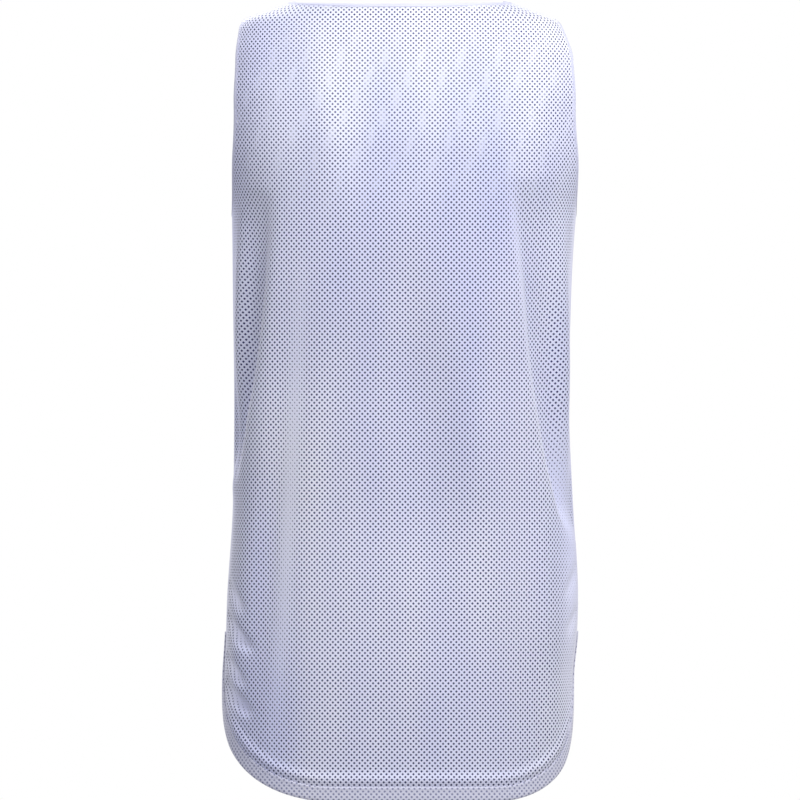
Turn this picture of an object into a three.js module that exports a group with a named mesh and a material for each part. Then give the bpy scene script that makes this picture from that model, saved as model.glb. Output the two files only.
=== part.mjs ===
// Reversible basketball jersey in two layers of mesh cloth, filled out as if worn, in millimetres.
// +Z is up, +Y is the way the wearer faces and +X is the wearer's right.
// The origin lies midway between the two points where the shoulder seams meet the neck.
import * as THREE from 'three';

// Driving dimensions
const NECK_HALF_WIDTH = 103;
const FRONT_NECK_DROP = 104;
const BACK_NECK_DIP = 4;
const SHOULDER_HALF_WIDTH = 156;
const SHOULDER_END = 21; // depth of the shoulder seam's outer end below its neck end
const ARMHOLE_FOOT = 216; // depth of the armhole's lowest point
const VENT_TOP = 632; // depth at which the side seams end and the vents open
const BACK_LENGTH = 798;
const FRONT_LENGTH = 776;
const LAYER = 1.2; // one layer of mesh cloth
const GAP = 0.3; // between pieces at a seam, and between the layers
const BINDING_WIDTH = 4;
const BINDING_OVER = 0.35; // how far a binding stands proud of the two layers
const BINDING_CROWN = 0.55; // share of its width over which a binding has its full height
const BINDING_NOSE = 0.45; // share of its height that is left at its outer edge
const HEM_WIDTH = 14;
const HEM_THICKNESS = 1;
const HEM_GAP = 0.55; // the band bridges the panel's facets, so it lies a little further out

const INNER_TOP = -LAYER - GAP;
const INNER_BOTTOM = INNER_TOP - LAYER;
const MIDDLE = INNER_BOTTOM / 2;

// The level sections that the cloth passes through, from the shoulders to the hem. left and right
// are the half widths, back and front the depths, and square is the superellipse's exponent.
const SECTIONS = [
  { depth: 0, left: 103, right: 103, back: 58, front: 52, square: 2.15 },
  { depth: 10, left: 130, right: 130, back: 65, front: 60, square: 2.2 },
  { depth: 20, left: SHOULDER_HALF_WIDTH, right: SHOULDER_HALF_WIDTH, back: 70, front: 67, square: 2.3 },
  { depth: 32, left: 164, right: 167, back: 77, front: 75, square: 2.35 },
  { depth: 60, left: 174, right: 183, back: 90, front: 91, square: 2.5 },
  { depth: 105, left: 180, right: 190, back: 105, front: 109, square: 2.6 },
  { depth: 150, left: 178, right: 189, back: 114, front: 120, square: 2.6 },
  { depth: 216, left: 168, right: 176, back: 118, front: 124, square: 2.65 },
  { depth: 300, left: 167, right: 171, back: 114, front: 119, square: 3 },
  { depth: 400, left: 166, right: 169, back: 108, front: 112, square: 3 },
  { depth: 500, left: 167, right: 173, back: 107, front: 110, square: 2.7 },
  { depth: 600, left: 173, right: 178, back: 113, front: 114, square: 2.5 },
  { depth: 632, left: 174, right: 177, back: 115, front: 116, square: 2.5 },
  { depth: 678, left: 177, right: 173, back: 118, front: 118, square: 2.5 },
  { depth: 798, left: 181, right: 174, back: 122, front: 120, square: 2.5 },
];

// How far each armhole is cut in from the side, along the cloth, and how the cut is shaped.
const ARMHOLE = { back: 63, front: 76, peak: 1.1, fullness: 0.5 };

// How far each rounded tail is cut in from the side, along the cloth, where it reaches the hem.
// fullness is 2 for a quarter of an ellipse, and less where the corner is cut deeper.
const TAIL = {
  back: { left: { reach: 184, fullness: 1.74 }, right: { reach: 150, fullness: 2 } },
  front: { left: { reach: 158, fullness: 1.9 }, right: { reach: 158, fullness: 1.9 } },
};

// Drapes that hang from the armholes. Each crease runs down the cloth, and share is its place
// between the panel's middle, at 0, and the side, at 1. reach is how much of its full depth it has.
const CREASES = {
  back: {
    left: { depth: 15, bank: 13, ledge: 34, path: [
      { depth: 190, share: 0.6, reach: 0 },
      { depth: 250, share: 0.63, reach: 0.6 },
      { depth: 312, share: 0.67, reach: 1 },
      { depth: 372, share: 0.73, reach: 1 },
      { depth: 430, share: 0.81, reach: 0.8 },
      { depth: 490, share: 0.88, reach: 0 },
      { depth: 640, share: 0.66, reach: 0 },
    ] },
    right: { depth: 14, bank: 12, ledge: 36, path: [
      { depth: 180, share: 0.49, reach: 0 },
      { depth: 230, share: 0.53, reach: 0.5 },
      { depth: 300, share: 0.58, reach: 0.9 },
      { depth: 356, share: 0.62, reach: 1 },
      { depth: 410, share: 0.67, reach: 1 },
      { depth: 458, share: 0.72, reach: 1 },
      { depth: 500, share: 0.78, reach: 0.8 },
      { depth: 545, share: 0.84, reach: 0 },
      { depth: 670, share: 0.62, reach: 0 },
    ] },
  },
  front: {
    left: { depth: 13, bank: 14, ledge: 36, path: [
      { depth: 180, share: 0.5, reach: 0 },
      { depth: 260, share: 0.55, reach: 0.6 },
      { depth: 370, share: 0.66, reach: 1 },
      { depth: 460, share: 0.76, reach: 0.7 },
      { depth: 540, share: 0.82, reach: 0 },
      { depth: 670, share: 0.62, reach: 0 },
    ] },
    right: { depth: 14, bank: 13, ledge: 34, path: [
      { depth: 190, share: 0.55, reach: 0 },
      { depth: 270, share: 0.6, reach: 0.6 },
      { depth: 360, share: 0.68, reach: 1 },
      { depth: 440, share: 0.78, reach: 0.8 },
      { depth: 520, share: 0.84, reach: 0 },
      { depth: 650, share: 0.64, reach: 0 },
    ] },
  },
};

// Soft folds. across is the place from the panel's middle along the cloth, at the fold's top and
// foot, lift is its height (a trough is below 0) and spread is its half width.
const FOLDS = {
  back: [
    { top: 230, foot: 740, acrossTop: -102, acrossFoot: -148, lift: -8, spread: 18 },
    { top: 330, foot: 770, acrossTop: -150, acrossFoot: -182, lift: 5, spread: 16 },
    { top: 190, foot: 500, acrossTop: -176, acrossFoot: -212, lift: 7, spread: 13 },
    { top: 220, foot: 540, acrossTop: 178, acrossFoot: 206, lift: 7, spread: 14 },
    { top: 230, foot: 640, acrossTop: 40, acrossFoot: 112, lift: 4, spread: 22 },
    { top: 240, foot: 700, acrossTop: 0, acrossFoot: 52, lift: -3.5, spread: 24 },
    { top: 440, foot: 790, acrossTop: 140, acrossFoot: 172, lift: 5, spread: 20 },
    { top: 20, foot: 230, acrossTop: -86, acrossFoot: -60, lift: 2.5, spread: 20 },
    { top: 20, foot: 230, acrossTop: 90, acrossFoot: 58, lift: 2.5, spread: 20 },
  ],
  front: [
    { top: 300, foot: 730, acrossTop: 104, acrossFoot: 150, lift: -6, spread: 21 },
    { top: 330, foot: 770, acrossTop: 148, acrossFoot: 184, lift: 5, spread: 17 },
    { top: 260, foot: 660, acrossTop: -36, acrossFoot: -96, lift: 4, spread: 23 },
    { top: 280, foot: 720, acrossTop: 6, acrossFoot: -34, lift: -4, spread: 26 },
    { top: 430, foot: 770, acrossTop: -138, acrossFoot: -170, lift: 5, spread: 20 },
  ],
};

// Where the panels' facets lie: depths of the rows, and columns to each side of a crease.
const ROWS = {
  shoulder: [11, SHOULDER_END],
  armhole: [24, 30, 42, 62, 90, 130, 170, 198, 211, ARMHOLE_FOOT],
  body: [255, 305, 355, 405, 455, 510, 570, VENT_TOP],
  tail: [0.26, 0.48, 0.68, 0.84, 0.94, 1], // shares of the way from the vent's top to the hem
};
const NECK_ROWS = [FRONT_NECK_DROP - 5, FRONT_NECK_DROP - 1.3, FRONT_NECK_DROP]; // front only
const COLUMNS = { middle: 6, besideCrease: 2, ledge: 4 };
const CREASE_ZONE = 0.1; // share of the half panel to each side of a crease that has closer columns
// Limits, as shares of a row, of where those columns start, of the crease, and of where they end.
const MARK_LIMITS = [
  { low: 0.3, high: 0.8 },
  { low: 0.42, high: 0.88 },
  { low: 0.54, high: 0.94 },
];
const HEM_STEPS = { tail: 14, middle: 10 };
const RING_STEPS = 160;
const SEAM_CLEAR = 16; // a fold dies out over this distance from a seam
const NORMAL_STEP = 0.8;
const WITHIN = 5; // how far into the cloth an edge's stop looks, to tell which way is off the cloth
const ROW_MATCH = 0.01;

const HALVES = { back: -1, front: 1 };
const SIDES = { left: -1, right: 1 };

// Smooth curve through a table's column, with no overshoot between its rows.
function along(table, column, depth) {
  const last = table.length - 1;
  if (depth <= table[0].depth) return table[0][column];
  if (depth >= table[last].depth) return table[last][column];
  const k = table.findIndex((row, i) => i < last && depth < table[i + 1].depth);
  const run = table[k + 1].depth - table[k].depth;
  const t = (depth - table[k].depth) / run;
  const slope = (i) => {
    if (i <= 0 || i >= last) return 0;
    const before = (table[i][column] - table[i - 1][column]) / (table[i].depth - table[i - 1].depth);
    const after = (table[i + 1][column] - table[i][column]) / (table[i + 1].depth - table[i].depth);
    return before * after <= 0 ? 0 : (2 * before * after) / (before + after);
  };
  const edgeSlope = (table[k + 1][column] - table[k][column]) / run;
  const m0 = k === 0 ? edgeSlope : slope(k);
  const m1 = k + 1 === last ? edgeSlope : slope(k + 1);
  const t2 = t * t;
  const t3 = t2 * t;
  return (
    (2 * t3 - 3 * t2 + 1) * table[k][column] +
    (t3 - 2 * t2 + t) * run * m0 +
    (3 * t2 - 2 * t3) * table[k + 1][column] +
    (t3 - t2) * run * m1
  );
}

const smoothstep = (t) => {
  const u = Math.min(1, Math.max(0, t));
  return u * u * (3 - 2 * u);
};

// A quarter of the level section at a depth, from the panel's middle to the side, with its length.
const quarters = new Map();
function quarter(half, side, depth) {
  const key = `${half} ${side} ${depth.toFixed(4)}`;
  if (!quarters.has(key)) {
    const width = along(SECTIONS, side, depth);
    const thick = along(SECTIONS, half, depth);
    const power = 2 / along(SECTIONS, 'square', depth);
    const points = [{ x: 0, y: thick, length: 0 }];
    for (let i = 1; i <= RING_STEPS; i++) {
      const angle = (Math.PI / 2) * (i / RING_STEPS);
      const x = width * Math.sin(angle) ** power;
      const y = i === RING_STEPS ? 0 : thick * Math.cos(angle) ** power;
      const before = points[i - 1];
      points.push({ x, y, length: before.length + Math.hypot(x - before.x, y - before.y) });
    }
    quarters.set(key, points);
  }
  return quarters.get(key);
}

const quarterLength = (half, side, depth) => quarter(half, side, depth)[RING_STEPS].length;
const sideOf = (across) => (across < 0 ? 'left' : 'right');

// A point of the smooth form, at a distance across the panel from its middle.
function formPoint(half, across, depth) {
  const side = sideOf(across);
  const points = quarter(half, side, depth);
  const goal = Math.abs(across);
  let low = 0;
  let high = RING_STEPS;
  while (high - low > 1) {
    const middle = (low + high) >> 1;
    if (points[middle].length <= goal) low = middle;
    else high = middle;
  }
  const a = points[low];
  const b = points[high];
  const t = Math.min(1.5, (goal - a.length) / (b.length - a.length));
  const x = a.x + t * (b.x - a.x);
  const y = a.y + t * (b.y - a.y);
  return new THREE.Vector3(SIDES[side] * x, HALVES[half] * y, -depth);
}

// The outward normal of the smooth form.
function formNormal(half, across, depth) {
  const share = 1 - NORMAL_STEP / quarterLength(half, sideOf(across), depth);
  const held = Math.sign(across) * Math.min(Math.abs(across), share * quarterLength(half, sideOf(across), depth));
  const top = Math.max(0, depth - NORMAL_STEP);
  const foot = depth + NORMAL_STEP;
  const ratio = (at) => quarterLength(half, sideOf(across), at) / quarterLength(half, sideOf(across), depth);
  const down = formPoint(half, held * ratio(foot), foot).sub(formPoint(half, held * ratio(top), top));
  const beside = formPoint(half, held + NORMAL_STEP, depth).sub(formPoint(half, held - NORMAL_STEP, depth));
  return beside.cross(down).multiplyScalar(HALVES[half]).normalize();
}

// How far the drapes and soft folds lift the cloth off the smooth form.
function foldLift(half, across, depth) {
  const side = sideOf(across);
  const reachable = quarterLength(half, side, depth);
  const crease = CREASES[half][side];
  const off = Math.abs(across) - along(crease.path, 'share', depth) * reachable;
  const run = off < 0 ? crease.bank : crease.ledge;
  const notch = Math.exp(-((off / run) ** 2));
  let lift = -crease.depth * along(crease.path, 'reach', depth) * notch;
  for (const fold of FOLDS[half]) {
    const t = (depth - fold.top) / (fold.foot - fold.top);
    if (t <= 0 || t >= 1) continue;
    const middle = fold.acrossTop + t * (fold.acrossFoot - fold.acrossTop);
    lift += fold.lift * Math.sin(Math.PI * t) * Math.exp(-(((across - middle) / fold.spread) ** 2));
  }
  return lift * smoothstep((reachable - Math.abs(across)) / SEAM_CLEAR);
}

// A point of the cloth, with out as the distance outwards from the outer layer's face.
function clothPoint(half, across, depth, out) {
  const normal = formNormal(half, across, depth);
  return formPoint(half, across, depth).addScaledVector(normal, foldLift(half, across, depth) + out);
}

// How far in from the side the cloth is cut: armhole, then side seam, then vent and rounded tail.
function cutIn(half, side, depth) {
  if (depth > SHOULDER_END && depth < ARMHOLE_FOOT) {
    const t = (depth - SHOULDER_END) / (ARMHOLE_FOOT - SHOULDER_END);
    return GAP / 2 + ARMHOLE[half] * Math.sin(Math.PI * t ** ARMHOLE.peak) ** ARMHOLE.fullness;
  }
  const length = half === 'back' ? BACK_LENGTH : FRONT_LENGTH;
  const t = Math.min(1, Math.max(0, (depth - VENT_TOP) / (length - VENT_TOP)));
  const { reach, fullness } = TAIL[half][side];
  return GAP / 2 + reach * (1 - Math.sqrt(1 - t ** fullness));
}

// Distance across from the front's middle to its neckline, or 0 below the neckline.
function frontNeck(side, depth) {
  const t = depth / FRONT_NECK_DROP;
  if (t >= 1) return 0;
  const wanted = (NECK_HALF_WIDTH + BINDING_WIDTH) * Math.sqrt(1 - t * t);
  const points = quarter('front', side, depth);
  const k = points.findIndex((p) => p.x >= wanted);
  if (k < 0) return points[RING_STEPS].length - GAP / 2;
  const t2 = (wanted - points[k - 1].x) / (points[k].x - points[k - 1].x);
  const reach = points[k - 1].length + t2 * (points[k].length - points[k - 1].length);
  return Math.min(reach, points[RING_STEPS].length - GAP / 2);
}

// Places across one side of a panel in one row, from its inner edge to its outer edge. They gather
// beside the crease, so that few facets follow it.
function columnsAt(half, side, depth, inner) {
  const full = quarterLength(half, side, depth);
  const outer = full - cutIn(half, side, depth);
  const share = along(CREASES[half][side].path, 'share', depth);
  const span = outer - inner;
  const marks = [inner, ...MARK_LIMITS.map(({ low, high }, k) => {
    const wanted = full * (share + (k - 1) * CREASE_ZONE);
    return Math.min(inner + high * span, Math.max(inner + low * span, wanted));
  }), outer];
  const counts = [COLUMNS.middle, COLUMNS.besideCrease, COLUMNS.besideCrease, COLUMNS.ledge];
  const places = [inner];
  counts.forEach((count, k) => {
    for (let i = 1; i <= count; i++) places.push(marks[k] + ((marks[k + 1] - marks[k]) * i) / count);
  });
  return places.map((place) => SIDES[side] * place);
}

// Depths of a panel's rows below the neck.
function rowDepths(half) {
  const length = half === 'back' ? BACK_LENGTH : FRONT_LENGTH;
  const tail = ROWS.tail.map((share) => VENT_TOP + share * (length - VENT_TOP));
  const neck = half === 'front' ? NECK_ROWS : [];
  return [...ROWS.shoulder, ...ROWS.armhole, ...neck, ...ROWS.body, ...tail].sort((a, b) => a - b);
}

// Shoulder seam's neck end, where the binding's width is taken off along the seam.
const SEAM_TOP = (SHOULDER_END * BINDING_WIDTH) / (SHOULDER_HALF_WIDTH - NECK_HALF_WIDTH);

// The rows of one side of a panel, each a list of { across, depth }.
function sideRows(half, side) {
  const rows = [];
  if (half === 'back') {
    rows.push(
      columnsAt(half, side, SEAM_TOP, 0).map((across) => {
        const share = across / quarterLength(half, side, SEAM_TOP);
        return { across, depth: SEAM_TOP + (BACK_NECK_DIP + BINDING_WIDTH - SEAM_TOP) * (1 - share * share) };
      }),
    );
    rows[0].forEach((place) => {
      place.across *= quarterLength(half, side, place.depth) / quarterLength(half, side, SEAM_TOP);
    });
    rows[0].at(-1).across = SIDES[side] * (quarterLength(half, side, SEAM_TOP) - GAP / 2);
  } else {
    rows.push(columnsAt(half, side, SEAM_TOP, frontNeck(side, SEAM_TOP)).map((across) => ({ across, depth: SEAM_TOP })));
  }
  for (const depth of rowDepths(half)) {
    const inner = half === 'front' ? frontNeck(side, depth) : 0;
    rows.push(columnsAt(half, side, depth, inner).map((across) => ({ across, depth })));
  }
  return rows;
}

// A closed body between two distances out from the cloth's face. Grids of places make the face,
// and the body is closed along whatever edges the face leaves free.
function wallGeometry(half, grids, outer, inner) {
  const places = [];
  const known = new Map();
  const vertex = (place) => {
    const key = `${place.across.toFixed(3)} ${place.depth.toFixed(3)}`;
    if (!known.has(key)) {
      known.set(key, places.length);
      places.push(place);
    }
    return known.get(key);
  };
  const face = [];
  const addTriangle = (a, b, c) => {
    if (a !== b && b !== c && c !== a) face.push([a, b, c]);
  };
  grids.forEach((rows) => {
    const mirrored = rows[0].at(-1).across < rows[0][0].across;
    for (let j = 0; j + 1 < rows.length; j++) {
      for (let i = 0; i + 1 < rows[j].length; i++) {
        const [a, b, c, d] = [rows[j][i], rows[j][i + 1], rows[j + 1][i + 1], rows[j + 1][i]].map(vertex);
        if (mirrored) {
          addTriangle(a, d, c);
          addTriangle(a, c, b);
        } else {
          addTriangle(a, b, c);
          addTriangle(a, c, d);
        }
      }
    }
  });
  const edges = new Set(face.flatMap(([a, b, c]) => [`${a} ${b}`, `${b} ${c}`, `${c} ${a}`]));
  const count = places.length;
  const triangles = [...face, ...face.map(([a, b, c]) => [a + count, c + count, b + count])];
  for (const edge of edges) {
    const [a, b] = edge.split(' ').map(Number);
    if (edges.has(`${b} ${a}`)) continue;
    triangles.push([b, a, a + count], [b, a + count, b + count]);
  }
  const points = [outer, inner].flatMap((out) => places.map((p) => clothPoint(half, p.across, p.depth, out)));
  return closedGeometry(points, triangles);
}

// A geometry from points and triangles, turned so that its faces point out.
function closedGeometry(points, triangles) {
  const volume = triangles.reduce((sum, [a, b, c]) => {
    return sum + points[a].dot(new THREE.Vector3().crossVectors(points[b], points[c]));
  }, 0);
  const turned = volume < 0 ? triangles.map(([a, b, c]) => [a, c, b]) : triangles;
  const geometry = new THREE.BufferGeometry();
  geometry.setAttribute('position', new THREE.Float32BufferAttribute(points.flatMap((p) => p.toArray()), 3));
  geometry.setIndex(turned.flat());
  return geometry;
}

// A binding along a closed edge. Each stop has its point midway between the layers, the cloth's
// normal there, and a point of the cloth further in, which tells the binding which way to turn.
function bindingGeometry(stops) {
  const proud = -INNER_BOTTOM / 2 + BINDING_OVER;
  const profile = [
    [GAP, -proud],
    [GAP + BINDING_WIDTH * BINDING_CROWN, -proud],
    [GAP + BINDING_WIDTH, -proud * BINDING_NOSE],
    [GAP + BINDING_WIDTH, proud * BINDING_NOSE],
    [GAP + BINDING_WIDTH * BINDING_CROWN, proud],
    [GAP, proud],
  ];
  const points = [];
  const triangles = [];
  const wrap = (k) => (k + stops.length) % stops.length;
  stops.forEach((stop, k) => {
    const tangent = stops[wrap(k + 1)].point.clone().sub(stops[wrap(k - 1)].point).normalize();
    const away = new THREE.Vector3().crossVectors(tangent, stop.normal).normalize();
    if (away.dot(stop.within.clone().sub(stop.point)) > 0) away.negate();
    const up = new THREE.Vector3().crossVectors(away, tangent).normalize();
    if (up.dot(stop.normal) < 0) up.negate();
    profile.forEach(([out, lift]) => {
      points.push(stop.point.clone().addScaledVector(away, out).addScaledVector(up, lift));
    });
    profile.forEach((_, i) => {
      const next = (i + 1) % profile.length;
      const here = k * profile.length;
      const there = wrap(k + 1) * profile.length;
      triangles.push([here + i, there + i, there + next], [here + i, there + next, here + next]);
    });
  });
  return closedGeometry(points, triangles);
}

function stopAt(half, place, inward) {
  return {
    point: clothPoint(half, place.across, place.depth, MIDDLE),
    normal: formNormal(half, place.across, place.depth),
    within: clothPoint(half, inward.across, inward.depth, MIDDLE),
  };
}

// The armhole's edge, down the back and up the front.
function armholeStops(side) {
  const edge = (half) =>
    sideRows(half, side)
      .filter((row) => row[0].depth >= SHOULDER_END - ROW_MATCH && row[0].depth <= ARMHOLE_FOOT + ROW_MATCH)
      .map((row) => ({ place: row.at(-1), inward: row.at(-2), half }));
  const back = edge('back');
  const front = edge('front');
  const inwardAtEnds = (list) => {
    list[0].inward = { across: list[0].place.across, depth: list[0].place.depth - WITHIN };
    list.at(-1).inward = { across: list.at(-1).place.across, depth: list.at(-1).place.depth + WITHIN };
    return list;
  };
  return [...inwardAtEnds(back), ...inwardAtEnds(front).reverse()].map((stop) =>
    stopAt(stop.half, stop.place, stop.inward),
  );
}

// The neck's edge, along the back from left to right and round the front.
function neckStops() {
  const backEdge = (side) => sideRows('back', side)[0].map((place) => ({ half: 'back', place }));
  const frontEdge = (side) =>
    sideRows('front', side)
      .filter((row) => row[0].depth <= FRONT_NECK_DROP + ROW_MATCH)
      .map((row) => ({ half: 'front', place: row[0] }));
  const back = [...backEdge('left').reverse(), ...backEdge('right').slice(1)];
  const front = [...frontEdge('right'), ...frontEdge('left').reverse().slice(1)];
  return [...back, ...front].map(({ half, place }) => {
    return stopAt(half, place, { across: place.across, depth: place.depth + WITHIN });
  });
}

// The hem band, laid on the panel along its vents and its rounded tail.
function hemGrid(half) {
  const length = half === 'back' ? BACK_LENGTH : FRONT_LENGTH;
  const sideEdge = (side) =>
    Array.from({ length: HEM_STEPS.tail + 1 }, (_, k) => {
      const depth = VENT_TOP + Math.sin((Math.PI / 2) * (k / HEM_STEPS.tail)) * (length - VENT_TOP);
      return { across: SIDES[side] * (quarterLength(half, side, depth) - cutIn(half, side, depth)), depth };
    });
  const left = sideEdge('left');
  const right = sideEdge('right').reverse();
  const middle = Array.from({ length: HEM_STEPS.middle - 1 }, (_, k) => {
    const t = (k + 1) / HEM_STEPS.middle;
    return { across: left.at(-1).across + t * (right[0].across - left.at(-1).across), depth: length };
  });
  const edge = [...left, ...middle, ...right];
  return edge.map((place, k) => {
    const before = edge[Math.max(0, k - 1)];
    const after = edge[Math.min(edge.length - 1, k + 1)];
    const run = new THREE.Vector2(after.across - before.across, after.depth - before.depth).normalize();
    return [0, HEM_WIDTH / 2, HEM_WIDTH].map((inset) => ({
      across: place.across + run.y * inset,
      depth: place.depth - run.x * inset,
    }));
  });
}

// Cloths and pieces
const outerCloth = new THREE.MeshStandardMaterial({ color: 0xdcdcf2, roughness: 0.62, metalness: 0 });
const innerCloth = new THREE.MeshStandardMaterial({ color: 0x1b1f45, roughness: 0.7, metalness: 0 });

const jersey = new THREE.Group();

function addPiece(name, geometry, material) {
  const mesh = new THREE.Mesh(geometry, material);
  mesh.name = name;
  geometry.computeVertexNormals();
  jersey.add(mesh);
}

for (const half of Object.keys(HALVES)) {
  const grids = Object.keys(SIDES).map((side) => sideRows(half, side));
  addPiece(`${half}_outer`, wallGeometry(half, grids, 0, -LAYER), outerCloth);
  addPiece(`${half}_inner`, wallGeometry(half, grids, INNER_TOP, INNER_BOTTOM), innerCloth);
  addPiece(`${half}_hem`, wallGeometry(half, [hemGrid(half)], HEM_GAP + HEM_THICKNESS, HEM_GAP), outerCloth);
}
for (const side of Object.keys(SIDES)) {
  addPiece(`armhole_binding_${side}`, bindingGeometry(armholeStops(side)), outerCloth);
}
addPiece('neck_binding', bindingGeometry(neckStops()), outerCloth);

export default jersey;
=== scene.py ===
"""Reversible basketball jersey in two layers of mesh cloth, filled out as if worn.

Lengths in the garment's own tables are in millimetres, as a pattern cutter has them, and meshes
are in metres. +X is the wearer's right, +Y the way the wearer faces and +Z is up.
"""

from __future__ import annotations

import logging
import math
from dataclasses import dataclass, field
from enum import Enum

import bpy
import numpy as np
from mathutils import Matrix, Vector


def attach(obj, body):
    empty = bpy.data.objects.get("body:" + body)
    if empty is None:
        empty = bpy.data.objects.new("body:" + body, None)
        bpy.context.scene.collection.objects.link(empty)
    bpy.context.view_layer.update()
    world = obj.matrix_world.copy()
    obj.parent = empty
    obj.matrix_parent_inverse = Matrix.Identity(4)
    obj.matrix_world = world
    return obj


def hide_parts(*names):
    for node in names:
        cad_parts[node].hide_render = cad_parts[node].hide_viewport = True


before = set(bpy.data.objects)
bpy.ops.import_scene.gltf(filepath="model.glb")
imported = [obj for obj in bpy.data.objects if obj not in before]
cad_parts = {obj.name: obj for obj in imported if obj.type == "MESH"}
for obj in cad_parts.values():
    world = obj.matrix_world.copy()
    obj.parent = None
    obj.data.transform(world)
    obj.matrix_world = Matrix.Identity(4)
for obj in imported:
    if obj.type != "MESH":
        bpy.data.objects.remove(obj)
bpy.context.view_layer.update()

Array = np.ndarray
Piece = bpy.types.Object
Socket = bpy.types.NodeSocket
Material = bpy.types.Material
Triple = tuple[float, float, float]  # a place or a colour

LOG = logging.getLogger("jersey")
MM = 0.001
BODY = "root"
CLOTH_UV = "OFBake"
UV_SPAN = 850.0  # millimetres of flat cloth across the whole of the UV square
UV_MIDDLE = 0.32  # where the panel's middle lies across that square
CELL_ACROSS = 5.35  # from hole to hole across the flat pale net
CELL_DOWN = 5.46  # and down it
STRIP_UV = 0.02  # share of that square which a narrow strip takes up, across its width
NOISE_GAIN = 4.0  # noise stays within about a quarter of its middle value, so this makes it whole
TABLE_END = 1.001  # cells held back from a table's end, so that a lookup stays inside it
SEAM_HAIR = 1e-6  # millimetres by which the armhole's last place stays above the side seam


class Half(Enum):
    """Half of the jersey, with the sign of its Y."""

    BACK = -1
    FRONT = 1

    @property
    def key(self) -> str:
        """Name used in the tables and pieces."""
        return self.name.lower()


class Side(Enum):
    """Side of the jersey, with the sign of its X."""

    LEFT = -1
    RIGHT = 1

    @property
    def key(self) -> str:
        """Name used in the tables and pieces."""
        return self.name.lower()


@dataclass(frozen=True)
class Section:
    """A level section of the worn form, at a depth below the neck."""

    depth: float
    left: float
    right: float
    back: float
    front: float
    square: float


@dataclass(frozen=True)
class CreaseStop:
    """One place on a crease: its share of the way to the side, and how much of it is there."""

    depth: float
    share: float
    reach: float


@dataclass(frozen=True)
class Crease:
    """A drape that hangs from the armhole, with a bank towards the middle and a ledge beyond it."""

    depth: float
    bank: float
    ledge: float
    path: tuple[CreaseStop, ...]


@dataclass(frozen=True)
class Fold:
    """A soft ridge, or a trough where lift is below 0.

    Along it the net's holes are drawn shut by some share.
    """

    top: float
    foot: float
    across_top: float
    across_foot: float
    lift: float
    spread: float
    shut: float = 0.0

    def strength(self, across: Array, depth: Array) -> Array:
        """How much of the fold is felt at each place, from 0 to 1.

        Args:
            across: Distances across the panel from its middle.
            depth: Depths below the neck.

        Returns:
            Its share at each place.
        """
        t = np.clip((depth - self.top) / (self.foot - self.top), 0, 1)
        middle = self.across_top + t * (self.across_foot - self.across_top)
        return np.sin(math.pi * t) * np.exp(-(((across - middle) / self.spread) ** 2))


@dataclass(frozen=True)
class Pucker:
    """A short slanting trough where a seam draws the cloth in."""

    start: tuple[float, float]
    end: tuple[float, float]
    lift: float
    spread: float

    def strength(self, across: Array, depth: Array) -> Array:
        """How much of the pucker is felt at each place, from 0 to 1.

        Args:
            across: Distances across the panel from its middle.
            depth: Depths below the neck.

        Returns:
            Its share at each place.
        """
        run = np.subtract(self.end, self.start)
        length = math.hypot(*run)
        along = ((across - self.start[0]) * run[0] + (depth - self.start[1]) * run[1]) / length
        beside = ((across - self.start[0]) * run[1] - (depth - self.start[1]) * run[0]) / length
        return np.sin(math.pi * np.clip(along / length, 0, 1)) * np.exp(-((beside / self.spread) ** 2))


@dataclass(frozen=True)
class Armhole:
    """How the armhole is cut in from the side, along the cloth."""

    back: float
    front: float
    peak: float
    fullness: float


@dataclass(frozen=True)
class Tail:
    """How one corner of the hem is rounded."""

    reach: float
    fullness: float


@dataclass(frozen=True)
class Cut:
    """The pattern's driving sizes."""

    neck_half_width: float = 103.0
    front_neck_drop: float = 104.0
    back_neck_dip: float = 4.0
    shoulder_half_width: float = 156.0
    shoulder_end: float = 21.0
    armhole_foot: float = 216.0
    vent_top: float = 632.0
    back_length: float = 798.0
    front_length: float = 776.0
    seam_gap: float = 0.3
    binding: float = 4.0
    hem: float = 14.0
    armhole: Armhole = Armhole(back=63, front=76, peak=1.1, fullness=0.5)

    @property
    def seam_top(self) -> float:
        """Depth at which the shoulder seam meets the neck binding."""
        return self.shoulder_end * self.binding / (self.shoulder_half_width - self.neck_half_width)

    def length(self, half: Half) -> float:
        """Length of a half from the neck's level to its hem."""
        return self.back_length if half is Half.BACK else self.front_length


CUT = Cut()

SECTIONS = (
    Section(depth=0, left=103, right=103, back=58, front=52, square=2.15),
    Section(depth=10, left=130, right=130, back=65, front=60, square=2.2),
    Section(depth=20, left=156, right=156, back=70, front=67, square=2.3),
    Section(depth=32, left=164, right=167, back=77, front=75, square=2.35),
    Section(depth=60, left=174, right=183, back=90, front=91, square=2.5),
    Section(depth=105, left=180, right=190, back=105, front=109, square=2.6),
    Section(depth=150, left=178, right=189, back=114, front=120, square=2.6),
    Section(depth=216, left=168, right=176, back=118, front=124, square=2.65),
    Section(depth=300, left=167, right=171, back=114, front=119, square=3.0),
    Section(depth=400, left=166, right=169, back=108, front=112, square=3.0),
    Section(depth=500, left=167, right=173, back=107, front=110, square=2.7),
    Section(depth=600, left=173, right=178, back=113, front=114, square=2.5),
    Section(depth=632, left=174, right=177, back=115, front=116, square=2.5),
    Section(depth=678, left=177, right=173, back=118, front=118, square=2.5),
    Section(depth=798, left=181, right=174, back=122, front=120, square=2.5),
)

TAILS = {
    (Half.BACK, Side.LEFT): Tail(reach=184, fullness=1.74),
    (Half.BACK, Side.RIGHT): Tail(reach=150, fullness=2.0),
    (Half.FRONT, Side.LEFT): Tail(reach=158, fullness=1.9),
    (Half.FRONT, Side.RIGHT): Tail(reach=158, fullness=1.9),
}

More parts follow.
